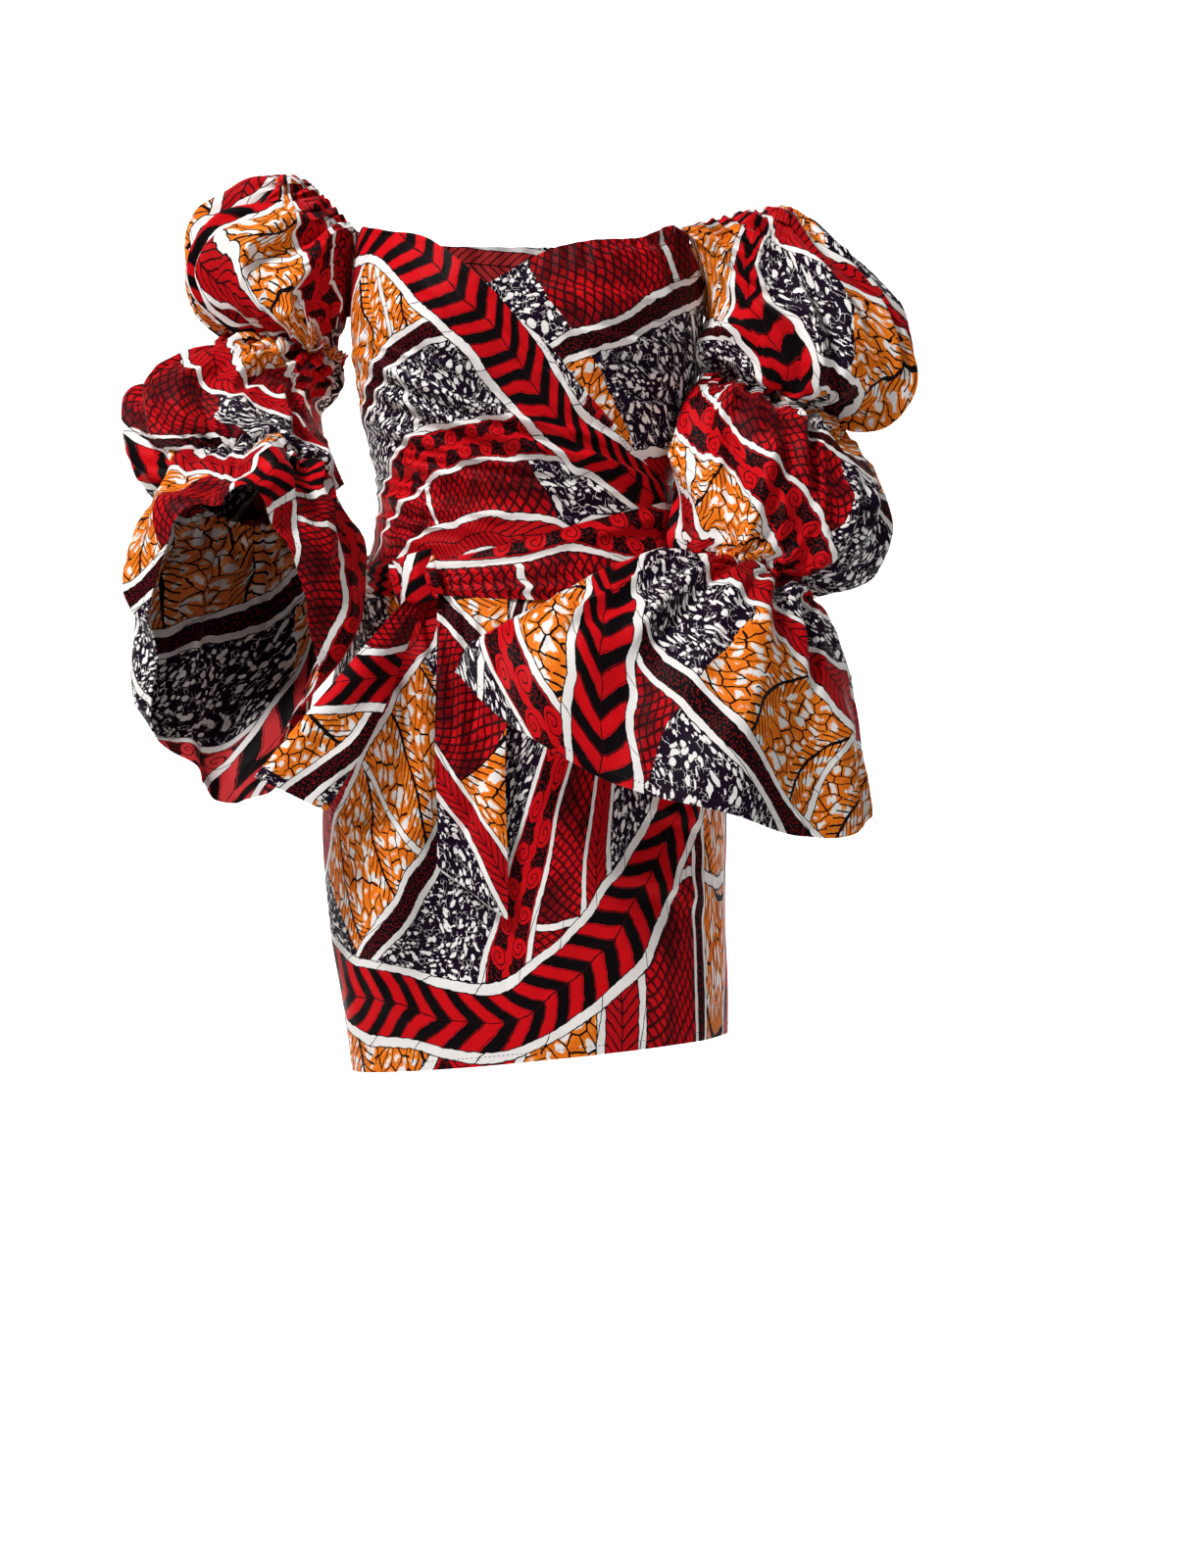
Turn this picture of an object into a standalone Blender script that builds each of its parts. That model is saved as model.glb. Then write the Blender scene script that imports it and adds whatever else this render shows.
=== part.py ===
"""An off-shoulder wrap mini dress in crisp printed cotton, as worn.

The cloth is a set of thin walls. The body pieces lie on a plain dressmaker's figure, given by
level sections, and the sleeves run through rings that stand on the arm's line.
Metres, +Z up, the front of the dress faces -Y, and +X is the wearer's left.
The origin is the middle of the figure at the underarm.
"""

import bpy
import numpy as np

# The cloth
WALL = 0.0015
SEAM_GAP = 0.0003
LAYER = WALL + 0.0013

# The figure: superellipse sections, with the front and the back depth apart
ROUNDNESS = 2.2
FIGURE_COLUMNS = ("z", "half_width", "front", "back", "centre_x")
FIGURE = [
    (-0.680, 0.158, 0.105, 0.105, 0.012),
    (-0.580, 0.165, 0.109, 0.112, 0.005),
    (-0.500, 0.170, 0.112, 0.118, -0.002),
    (-0.420, 0.173, 0.113, 0.122, -0.004),
    (-0.350, 0.170, 0.111, 0.118, -0.003),
    (-0.285, 0.161, 0.105, 0.108, -0.003),
    (-0.235, 0.147, 0.097, 0.095, -0.003),
    (-0.190, 0.131, 0.090, 0.085, -0.003),
    (-0.145, 0.127, 0.088, 0.080, -0.002),
    (-0.100, 0.137, 0.093, 0.082, -0.002),
    (-0.050, 0.146, 0.101, 0.085, -0.002),
    (0.000, 0.151, 0.106, 0.088, -0.002),
    (0.040, 0.150, 0.102, 0.088, -0.002),
    (0.080, 0.146, 0.090, 0.085, -0.002),
    (0.120, 0.138, 0.078, 0.080, -0.002),
]

# The cups that the bodice is cut for
CUP_X = 0.072
CUP_Z = 0.005
CUP_WIDTH = 0.050
CUP_HEIGHT = 0.055
CUP_DEPTH = 0.016

# The panels' edges, by the turn from the front middle towards the wearer's left, in degrees
SIDE_SEAM_TURN = 90.0
WAIST_Z = -0.206
WAIST_SLOPE = 0.06
HEM_Z = -0.623
HEM_SLOPE = 0.10
EDGE_COLUMNS = ("turn", "z")
OVER_EDGE = [
    (-90, 0.005), (-81, 0.045), (-72, 0.073), (-60, 0.073), (-48, 0.067), (-31, 0.056), (-21, 0.037),
    (-11, 0.014), (-2, -0.012), (8, -0.034), (17, -0.061), (28, -0.088), (41, -0.115), (78, -0.146), (90, -0.150),
]
UNDER_EDGE = [
    (-90, -0.140), (-50, -0.080), (-30, -0.030), (-13, 0.013), (-5, 0.026), (7, 0.044),
    (20, 0.053), (37, 0.058), (59, 0.073), (75, 0.045), (90, 0.005),
]
BACK_EDGE = [
    (90, 0.005), (105, 0.045), (119, 0.073), (150, 0.078), (180, 0.080), (215, 0.079),
    (246, 0.075), (258, 0.045), (270, 0.005),
]
ARMHOLE_FRONT_TURN = {"left": 59.0, "right": -72.0}
ARMHOLE_BACK_TURN = {"left": 119.0, "right": -114.0}
ELASTIC_TOP = {"left": (0.220, 0.002, 0.097), "right": (-0.193, 0.015, 0.124)}

# The soft pleats that the wrap pulls to the wearer's left side of the waist
OVER_PULL = {"x": 0.150, "z": -0.165, "pleats": 4, "first_deg": 6.0, "step_deg": 12.5, "height": 0.0045}

# The sash, which lies over the wrap: its top and bottom edges round the waist
SASH_COLUMNS = ("turn", "top", "bottom")
SASH = [
    (-180, -0.172, -0.224), (-135, -0.185, -0.227), (-90, -0.200, -0.236), (-60, -0.208, -0.239),
    (-38, -0.211, -0.238), (-20, -0.205, -0.240), (0, -0.193, -0.243), (22, -0.178, -0.243),
    (45, -0.165, -0.240), (70, -0.155, -0.232), (90, -0.154, -0.226), (135, -0.162, -0.222), (180, -0.172, -0.224),
]
SASH_FOLD = 0.0022
SASH_FOLDS = 2

KNOT_TURN = -34.0
KNOT_Z = -0.226
KNOT_SIZE = (0.044, 0.020, 0.040)

TAIL_COLUMNS = ("x", "y", "z", "width", "swing")
SIDE_TAIL = [
    (-0.0935, -0.0945, -0.2462, 0.018, 40), (-0.101, -0.119, -0.262, 0.028, 44), (-0.115, -0.149, -0.290, 0.038, 34),
    (-0.132, -0.168, -0.322, 0.048, 24), (-0.152, -0.179, -0.354, 0.056, 16), (-0.186, -0.186, -0.403, 0.064, 12),
]
SIDE_TAIL_LEAN = 26.0
FRONT_TAIL = {"left_x": -0.074, "right_x": -0.016, "left_z": -0.462, "right_z": -0.506}

# The sleeves: rings on the arm's line, with the front and the back depth apart. Roll lowers the
# +X end, pitch lowers the front, yaw turns the +X end to the back, in degrees.
RING_COLUMNS = ("x", "y", "z", "half_width", "front", "back", "roll", "pitch", "yaw")
LEFT_UPPER_PUFF = [
    (0.208, 0.000, 0.029, 0.063, 0.058, 0.058, -38, 0, 0),
    (0.232, -0.002, 0.001, 0.073, 0.068, 0.068, -17, 0, 0),
    (0.245, -0.004, -0.026, 0.079, 0.071, 0.071, -4, 0, 0),
    (0.249, -0.004, -0.049, 0.078, 0.067, 0.067, 4, 0, 0),
    (0.238, -0.003, -0.064, 0.065, 0.058, 0.058, 10, 0, 5),
]
LEFT_UPPER_ELASTIC = (0.209, 0.000, -0.068, 0.044, 0.042, 0.042, 16, 0, 10)
LEFT_LOWER_PUFF = [
    (0.208, -0.006, -0.090, 0.056, 0.055, 0.055, 13, 0, 20),
    (0.212, -0.020, -0.116, 0.076, 0.066, 0.066, 9, 0, 20),
    (0.216, -0.034, -0.150, 0.087, 0.071, 0.071, 6, 0, 22),
    (0.214, -0.044, -0.184, 0.087, 0.070, 0.070, 7, 0, 22),
    (0.204, -0.052, -0.207, 0.074, 0.060, 0.060, 11, 0, 22),
]
LEFT_LOWER_ELASTIC = (0.182, -0.062, -0.2200, 0.045, 0.043, 0.043, 14, -3, 20)
LEFT_BELL = [
    (0.160, -0.080, -0.234, 0.074, 0.056, 0.046, 11, -6, 18),
    (0.150, -0.100, -0.250, 0.096, 0.062, 0.044, 9, -2, 18),
    (0.142, -0.122, -0.272, 0.122, 0.066, 0.042, 8, 6, 16),
    (0.128, -0.140, -0.302, 0.148, 0.070, 0.038, 11, 14, 14),
    (0.120, -0.154, -0.336, 0.164, 0.076, 0.036, 15, 24, 12),
    (0.117, -0.166, -0.366, 0.172, 0.084, 0.036, 18, 34, 10),
]
RIGHT_UPPER_PUFF = [
    (-0.206, 0.006, 0.052, 0.070, 0.057, 0.057, 52, 0, 0),
    (-0.225, 0.010, 0.040, 0.076, 0.066, 0.066, 40, 0, 0),
    (-0.231, 0.013, 0.022, 0.076, 0.069, 0.069, 31, 0, 0),
    (-0.230, 0.016, 0.005, 0.068, 0.065, 0.065, 24, 0, 0),
    (-0.222, 0.018, -0.009, 0.057, 0.055, 0.055, 18, -2, 0),
]
RIGHT_UPPER_ELASTIC = (-0.206, 0.019, -0.022, 0.043, 0.042, 0.042, 16, -5, 0)
RIGHT_LOWER_PUFF = [
    (-0.226, 0.012, -0.044, 0.053, 0.052, 0.052, 13, -10, 0),
    (-0.249, -0.001, -0.062, 0.067, 0.061, 0.061, 8, -15, 0),
    (-0.260, -0.019, -0.084, 0.080, 0.067, 0.067, 5, -20, 0),
    (-0.256, -0.038, -0.110, 0.085, 0.068, 0.068, 2, -28, 0),
    (-0.244, -0.055, -0.133, 0.076, 0.061, 0.061, 0, -34, 0),
]
RIGHT_LOWER_ELASTIC = (-0.228, -0.074, -0.147, 0.053, 0.046, 0.046, 0, -38, 0)
RIGHT_BELL = [
    (-0.228, -0.089, -0.166, 0.066, 0.058, 0.060, 0, -43, 0),
    (-0.229, -0.106, -0.193, 0.080, 0.074, 0.080, 0, -50, 0),
    (-0.230, -0.127, -0.226, 0.088, 0.090, 0.100, 0, -60, 0),
    (-0.236, -0.149, -0.256, 0.086, 0.108, 0.118, 0, -70, 0),
    (-0.236, -0.170, -0.281, 0.064, 0.122, 0.132, 0, -78, 0),
]

# Gathers stand up just off the elastic and die away, folds run the length of the cloth
GATHERS = 12
ELASTIC_RUFFLE = 0.0016
PUFF_GATHER = 0.0042
PUFF_FOLDS = [(3, 0.0035, 0.6), (5, 0.0040, 2.1), (7, 0.0022, 4.0)]
BELL_GATHER = 0.0030
LEFT_FLUTES = [(4, 0.008, 0.9), (7, 0.006, 2.6)]
RIGHT_FLUTES = [(5, 0.006, 0.4), (8, 0.006, 1.9)]

# How finely each piece is divided
SKIRT_ROWS = (0.0, 0.16, 0.32, 0.48, 0.62, 0.74, 0.84, 0.92, 1.0)
SLEEVE_COLUMNS = 48
SLEEVE_CLEAR = {"upper_puff": 0.0012, "lower_puff": 0.008, "bell": 0.013}
PUFF_STEPS = (0.0, 0.07, 0.18, 0.33, 0.50, 0.66, 0.82, 0.93, 1.0)
BELL_STEPS = (0.0, 0.08, 0.20, 0.36, 0.54, 0.72, 0.87, 1.0)

# Colours of the print, as they average out on each piece
RED = (0.45, 0.012, 0.018, 1.0)
PURPLE = (0.10, 0.05, 0.12, 1.0)
ORANGE = (0.78, 0.27, 0.05, 1.0)


def columns(names, rows):
    """A table as a dictionary of arrays, one for each named column."""
    return dict(zip(names, np.array(rows, float).T))


def smooth(at, known_at, known):
    """A curve through the known values that keeps its slope from one to the next."""
    known_at = np.asarray(known_at, float)
    known = np.asarray(known, float)
    slope = np.gradient(known, known_at, axis=0)
    at = np.asarray(at, float)
    i = np.clip(np.searchsorted(known_at, at, side="right") - 1, 0, len(known_at) - 2)
    span = known_at[i + 1] - known_at[i]
    f = np.clip((at - known_at[i]) / span, 0.0, 1.0)
    extra = (1,) * (known.ndim - 1)
    f = f.reshape(f.shape + extra)
    span = span.reshape(span.shape + extra)
    return (
        known[i] * (1 + 2 * f) * (1 - f) ** 2
        + known[i + 1] * f * f * (3 - 2 * f)
        + slope[i] * span * f * (1 - f) ** 2
        - slope[i + 1] * span * f * f * (1 - f)
    )


FIGURE_TABLE = columns(FIGURE_COLUMNS, FIGURE)


def figure_size(name, z):
    return smooth(z, FIGURE_TABLE["z"], FIGURE_TABLE[name])


def cup(x, z):
    """How far the bodice stands forward at its two cups."""
    fall = np.exp(-(((z - CUP_Z) / CUP_HEIGHT) ** 2))
    return CUP_DEPTH * fall * sum(np.exp(-(((x - side * CUP_X) / CUP_WIDTH) ** 2)) for side in (-1, 1))


def on_figure(z, turn, out=0.0):
    """The point of the figure at height z and this turn from the front, moved out from it."""
    z, turn = np.broadcast_arrays(np.asarray(z, float), np.radians(turn))
    across, ahead = np.sin(turn), np.cos(turn)
    front, back = figure_size("front", z), figure_size("back", z)
    width = figure_size("half_width", z) + out
    depth = (front + back) / 2 + (front - back) / 2 * ahead + out
    stretch = (np.abs(across) ** ROUNDNESS + np.abs(ahead) ** ROUNDNESS) ** (-1 / ROUNDNESS)
    x = figure_size("centre_x", z) + width * across * stretch
    forward = np.clip(ahead, 0.0, None) ** 0.5
    y = -depth * ahead * stretch - cup(x, z) * forward
    return np.stack([x, y, z], axis=-1)


def front_y(x, z, out=0.0):
    """The figure's front surface at this x and z, moved out."""
    width = figure_size("half_width", z) + out
    front = figure_size("front", z) + out
    share = np.clip(np.abs((x - figure_size("centre_x", z)) / width), 0.0, 0.999)
    return -front * (1 - share**ROUNDNESS) ** (1 / ROUNDNESS)


def edge(rows):
    table = columns(EDGE_COLUMNS, rows)
    return lambda turn: smooth(turn, table["turn"], table["z"])


over_edge = edge(OVER_EDGE)
under_edge = edge(UNDER_EDGE)
back_edge = edge(BACK_EDGE)


def waist_z(turn):
    return WAIST_Z + WAIST_SLOPE * figure_size("half_width", WAIST_Z) * np.sin(np.radians(turn))


def hem_z(turn):
    return HEM_Z + HEM_SLOPE * figure_size("half_width", HEM_Z) * np.sin(np.radians(turn))


def sash_edge(name, turn):
    table = columns(SASH_COLUMNS, SASH)
    return smooth(turn, table["turn"], table[name])


def ease(share):
    """From 0 to 1, level at both ends."""
    share = np.clip(share, 0.0, 1.0)
    return share * share * (3 - 2 * share)


def over_out(z, turn):
    """Soft ridges fan out over the front from the point where the wrap is pulled in, and end above the sash."""
    pull = OVER_PULL
    x = on_figure(z, turn)[..., 0]
    reach = np.hypot(pull["x"] - x, z - pull["z"])
    angle = np.degrees(np.arctan2(z - pull["z"], pull["x"] - x))
    phase = (angle - pull["first_deg"]) / pull["step_deg"]
    inside = ease(np.minimum(phase, pull["pleats"] - phase) * 2)
    fade = ease((reach - 0.02) / 0.06) * ease((z - sash_edge("top", turn) - 0.002) / 0.03)
    return pull["height"] * np.sin(np.pi * phase) ** 2 * inside * fade * ease((turn + 72) / 22)


def under_out(z, turn):
    """The under front lies one layer in, and comes up to the surface above the edge of the over front."""
    return -LAYER * (1 - ease((z - over_edge(turn) - 0.010) / 0.025))


# Making the objects


def clear_scene():
    for obj in list(bpy.data.objects):
        bpy.data.objects.remove(obj)


def cloth_material(name, colour):
    material = bpy.data.materials.new(name)
    material.use_nodes = True
    shader = material.node_tree.nodes["Principled BSDF"]
    shader.inputs["Base Color"].default_value = colour
    shader.inputs["Roughness"].default_value = 0.75
    shader.inputs["Metallic"].default_value = 0.0
    material.diffuse_color = colour
    return material


def add_object(name, mesh, material, collection):
    mesh.materials.append(material)
    mesh.shade_smooth()
    obj = bpy.data.objects.new(name, mesh)
    collection.objects.link(obj)
    return obj


def shell_faces(rows, across, closed):
    """Faces of a wall: the outer grid, the inner grid after it turned over, and the rims between them."""
    outer = np.arange(rows * across).reshape(rows, across)
    if closed:
        outer = np.hstack([outer, outer[:, :1]])
    inner = outer + rows * across

    def halves(a, b, c, d):
        return np.concatenate([np.stack([a, b, c], axis=-1).reshape(-1, 3), np.stack([a, c, d], axis=-1).reshape(-1, 3)])

    def grid(index):
        return halves(index[:-1, :-1], index[:-1, 1:], index[1:, 1:], index[1:, :-1])

    def rim(line, behind):
        return halves(line[:-1], behind[:-1], behind[1:], line[1:])

    first_rim = halves(inner[0, :-1], inner[0, 1:], outer[0, 1:], outer[0, :-1])
    faces = [grid(outer), grid(inner)[:, ::-1], first_rim, rim(inner[-1], outer[-1])]
    if not closed:
        faces += [rim(inner[:, 0], outer[:, 0]), rim(outer[:, -1], inner[:, -1])]
    return np.concatenate(faces)


def add_shell(name, outer, inner, material, collection, closed=False):
    """A closed wall of cloth between two grids of points. A closed one joins its last column to its first."""
    rows, across = outer.shape[:2]
    points = np.concatenate([outer.reshape(-1, 3), inner.reshape(-1, 3)])
    mesh = bpy.data.meshes.new(name)
    mesh.from_pydata(points.tolist(), [], shell_faces(rows, across, closed).tolist())
    return add_object(name, mesh, material, collection)


def normals(points, closed):
    """Unit normals of a grid, from the differences along its rows and columns."""
    down = np.gradient(points, axis=0)
    if closed:
        across = np.roll(points, -1, axis=1) - np.roll(points, 1, axis=1)
    else:
        across = np.gradient(points, axis=1)
    normal = np.cross(across, down)
    return normal / np.linalg.norm(normal, axis=-1, keepdims=True)


# The body pieces


def add_panel(name, turns, rows, bottom, top, out, material, collection):
    """A panel on the figure between two edges, as rows of points from the bottom edge to the top."""
    turn, share = np.meshgrid(turns, rows)
    z = bottom(turn) + (top(turn) - bottom(turn)) * share
    raised = out(z, turn)
    add_shell(name, on_figure(z, turn, raised), on_figure(z, turn, raised - WALL), material, collection)


def even_rows(count):
    return np.linspace(0.0, 1.0, count)


def flat(z, turn):
    return np.zeros_like(z)


def seam_turns(first, last, count):
    """Turns from one seam to another, taken in by half of the gap at each end."""
    inset = np.degrees(SEAM_GAP / 2 / 0.080)
    return np.linspace(first + inset, last - inset, count)


def add_body(collection, materials):
    half_gap = SEAM_GAP / 2

    def above_waist(turn):
        return waist_z(turn) + half_gap

    def below_waist(turn):
        return waist_z(turn) - half_gap

    front = seam_turns(-SIDE_SEAM_TURN, SIDE_SEAM_TURN, 21)
    back = seam_turns(SIDE_SEAM_TURN, SIDE_SEAM_TURN + 180.0, 21)
    bust = seam_turns(-SIDE_SEAM_TURN, SIDE_SEAM_TURN, 31)
    skirt, bodice = materials["skirt"], materials["bodice"]
    add_panel("skirt_front", front, SKIRT_ROWS, hem_z, below_waist, flat, skirt, collection)
    add_panel("skirt_back", back, SKIRT_ROWS, hem_z, below_waist, flat, skirt, collection)
    add_panel("bodice_front_over", bust, even_rows(14), above_waist, over_edge, over_out, bodice, collection)
    add_panel("bodice_front_under", bust[1:], even_rows(12), above_waist, under_edge, under_out, bodice, collection)
    add_panel("bodice_back", back, even_rows(12), above_waist, back_edge, flat, bodice, collection)


def add_sash(collection, material):
    """The sash lies over the waist seam, in soft folds along its length."""
    turn, share = np.meshgrid(np.linspace(-180.0, 180.0, 41)[:-1], np.linspace(0.0, 1.0, 6))
    top, bottom = sash_edge("top", turn), sash_edge("bottom", turn)
    z = bottom + (top - bottom) * share
    out = LAYER + SASH_FOLD * np.sin(np.pi * SASH_FOLDS * share) ** 2
    add_shell("sash_band", on_figure(z, turn, out), on_figure(z, turn, out - WALL), material, collection, closed=True)


def add_knot(collection, material):
    """A small pulled knot: a ball of cloth, creased where the wrap draws it in, on the front of the sash."""
    around, along = np.meshgrid(np.linspace(0, 2 * np.pi, 17)[:-1], np.linspace(0, np.pi, 10)[1:-1])
    swell = 1.0 + 0.08 * np.cos(3 * around + 0.5) + 0.05 * np.cos(4 * along)
    unit = np.stack([np.sin(along) * np.cos(around), np.sin(along) * np.sin(around), np.cos(along)], axis=-1)
    size = np.array(KNOT_SIZE) / 2
    local = np.concatenate([(unit * swell[..., None] * size).reshape(-1, 3), [[0, 0, size[2]], [0, 0, -size[2]]]])
    out = LAYER + SASH_FOLD
    side = on_figure(KNOT_Z, KNOT_TURN + 1, out) - on_figure(KNOT_Z, KNOT_TURN - 1, out)
    side /= np.linalg.norm(side)
    ahead = np.array([side[1], -side[0], 0.0])
    centre = on_figure(KNOT_Z, KNOT_TURN, out) + ahead * (size[1] * 1.05 + SEAM_GAP)
    points = centre + local[:, :1] * side - local[:, 1:2] * ahead + local[:, 2:] * np.array([0.0, 0.0, 1.0])
    rows, across = unit.shape[:2]
    index = np.arange(rows * across).reshape(rows, across)
    index = np.hstack([index, index[:, :1]])
    faces = np.stack([index[1:, :-1], index[1:, 1:], index[:-1, 1:], index[:-1, :-1]], axis=-1).reshape(-1, 4).tolist()
    top, bottom = rows * across, rows * across + 1
    faces += [(top, int(a), int(b)) for a, b in zip(index[0, :-1], index[0, 1:])]
    faces += [(bottom, int(b), int(a)) for a, b in zip(index[-1, :-1], index[-1, 1:])]
    mesh = bpy.data.meshes.new("sash_knot")
    mesh.from_pydata(points.tolist(), [], faces)
    add_object("sash_knot", mesh, material, collection)


def add_strip(name, points, material, collection):
    """An open strip of cloth, from a grid of points whose rows run down its length."""
    behind = points + normals(points, False) * WALL
    add_shell(name, points[::-1], behind[::-1], material, collection)


def add_side_tail(collection, material):
    """The tail that stands away from the hip: a strip along its own line, turning as it falls."""
    table = columns(TAIL_COLUMNS, SIDE_TAIL)
    line = np.stack([table[name] for name in ("x", "y", "z")], axis=-1)
    at = np.linspace(0.0, 1.0, len(line))
    share = np.linspace(0.0, 1.0, 15)
    middle = smooth(share, at, line)
    width = smooth(share, at, table["width"])
    swing, lean = np.radians(smooth(share, at, table["swing"])), np.radians(SIDE_TAIL_LEAN)
    side = np.stack([np.cos(swing) * np.cos(lean), np.sin(swing), -np.cos(swing) * np.sin(lean)], axis=-1)
    across = np.linspace(-0.5, 0.5, 5)
    points = middle[:, None] + side[:, None] * (width[:, None] * across)[..., None]
    points[..., 1] -= 0.10 * width[:, None] * (1 - (2 * across) ** 2)
    add_strip("sash_tail_side", points, material, collection)


def add_front_tail(collection, material):
    """The tail that hangs down the skirt, cut slanting at its end."""
    tail = FRONT_TAIL
    across, down = np.meshgrid(np.linspace(0.0, 1.0, 6), np.linspace(0.0, 1.0, 13))
    x = tail["left_x"] + (tail["right_x"] - tail["left_x"]) * across
    end = tail["left_z"] + (tail["right_z"] - tail["left_z"]) * across
    top = sash_edge("bottom", x * 390) - 2 * SEAM_GAP
    z = top + (end - top) * down
    wave = 0.5 + 0.5 * np.sin(2.2 * np.pi * across + 2.5 * down)
    out = LAYER + 0.0015 * ease(down * 6) + 0.004 * wave * ease(down * 3)
    points = np.stack([x, front_y(x, z, out), z], axis=-1)
    add_strip("sash_tail_front", points, material, collection)


# The sleeves


def ring_points(row, around):
    """Points round a ring: its width lies along the +X axis and its depth to the front before it is turned."""
    x, y, z, half_width, front, back, roll, pitch, yaw = row
    roll, pitch, yaw = np.radians([roll, pitch, yaw])
    width = np.array([np.cos(yaw) * np.cos(roll), np.sin(yaw) * np.cos(roll), -np.sin(roll)]) * half_width
    ahead = np.array([np.sin(yaw), -np.cos(yaw), 0.0]) * np.cos(pitch) + np.array([0.0, 0.0, -np.sin(pitch)])
    depth = np.where(np.sin(around) > 0, front, back) * np.sin(around)
    return np.array([x, y, z]) + np.cos(around)[:, None] * width + depth[:, None] * ahead


def elastic_points(row, around):
    """A ring of small ruffles, which both of the pieces at an elastic share."""
    points = ring_points(row, around)
    away = points - np.array(row[:3])
    away /= np.linalg.norm(away, axis=-1, keepdims=True)
    return points + away * (ELASTIC_RUFFLE * np.cos(GATHERS * around))[:, None]


def armhole(side, share):
    """The armhole edge, from its back corner (share 0) round under the arm to its front corner (share 1)."""
    back, front = ARMHOLE_BACK_TURN[side], ARMHOLE_FRONT_TURN[side]
    under = SIDE_SEAM_TURN if side == "left" else -SIDE_SEAM_TURN
    turn = smooth(share, [0.0, 0.5, 1.0], [back, under, front])
    front_edge = under_edge if side == "left" else over_edge
    behind = np.abs(turn) > SIDE_SEAM_TURN
    z = np.where(behind, back_edge(np.mod(turn, 360.0)), front_edge(turn))
    return on_figure(z, turn, SEAM_GAP)


def mouth_points(side, around):
    """The sleeve's top edge: sewn to the armhole on its inner half, on the elastic over the arm outside."""
    inward = np.mod(around if side == "left" else np.pi - around, 2 * np.pi)
    sewn_from = np.radians(105.0)
    sewn_to = 2 * np.pi - sewn_from
    sewn = (inward > sewn_from) & (inward < sewn_to)
    points = np.empty((len(around), 3))
    points[sewn] = armhole(side, (sewn_to - inward[sewn]) / (sewn_to - sewn_from))
    back, front = armhole(side, np.array([0.0, 1.0]))
    top = np.array(ELASTIC_TOP[side])
    for corner, part in ((front, ~sewn & (inward <= np.pi)), (back, ~sewn & (inward > np.pi))):
        angle = np.minimum(inward[part], 2 * np.pi - inward[part])
        rise = ((1.0 - angle / sewn_from) * np.pi / 2)[:, None]
        across = (top - corner) * np.array([1.0, 0.0, 1.0])
        along = (top - corner) * np.array([0.0, 1.0, 0.0])
        points[part] = corner + across * np.sin(rise) + along * (1 - np.cos(rise))
    return points, sewn


def tube(rings, steps):
    """Points at these shares of the way along a list of rings."""
    rings = np.array(rings)
    step = np.linalg.norm(np.diff(rings, axis=0), axis=-1).mean(axis=-1)
    at = np.concatenate([[0.0], np.cumsum(step)]) / step.sum()
    return smooth(steps, at, rings)


def waves(around, steps, gather, folds, closes):
    """Gathers beside each elastic and long folds between them, as a height over rows and columns."""
    share = np.array(steps)[:, None]
    near = np.exp(-(((share - 0.18) / 0.14) ** 2)) * ease(share / 0.14)
    body = ease(share / 0.5) if not closes else np.sin(np.pi * share) ** 1.5
    if closes:
        near = near + np.exp(-(((share - 0.82) / 0.14) ** 2)) * ease((1 - share) / 0.14)
    height = gather * near * np.cos(GATHERS * around)[None, :]
    for count, size, phase in folds:
        height = height + size * body * np.cos(count * around + phase)[None, :]
    return height


def clear_of_figure(points, out):
    """Moves points that would lie in the figure, or near it, out to this distance from it."""
    x, y, z = points[..., 0], points[..., 1], points[..., 2]
    front, back = figure_size("front", z), figure_size("back", z)
    centre = figure_size("centre_x", z)
    across = (x - centre) / (figure_size("half_width", z) + out)
    ahead = y / (np.where(y < 0, front, back) + out + cup(x, z) * (y < 0))
    size = (np.abs(across) ** ROUNDNESS + np.abs(ahead) ** ROUNDNESS) ** (1 / ROUNDNESS)
    wanted = (size + 1 + np.sqrt((size - 1) ** 2 + 0.0004)) / 2
    stretch = np.where(size < 1.4, wanted / size, 1.0)
    return np.stack([centre + (x - centre) * stretch, y * stretch, z], axis=-1)


def sleeve_points(rings, steps, height, clearance):
    """The outer points of a tube through rings: its waves stand along its own normals."""
    points = tube(rings, steps)
    points = points + normals(points, True) * height[..., None]
    moved = clear_of_figure(points, clearance)
    points[1:-1] = moved[1:-1]
    return points


def mitre(before, after):
    """How far in the cut edges of two pieces go at the elastic that they share."""
    middle = before + after
    middle /= np.linalg.norm(middle, axis=-1, keepdims=True)
    longer = 1 / np.clip(np.sum(middle * before, axis=-1, keepdims=True), 0.60, 1.0)
    cut = middle * WALL * longer
    return (2 * cut + np.roll(cut, 1, axis=0) + np.roll(cut, -1, axis=0)) / 4


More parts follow.
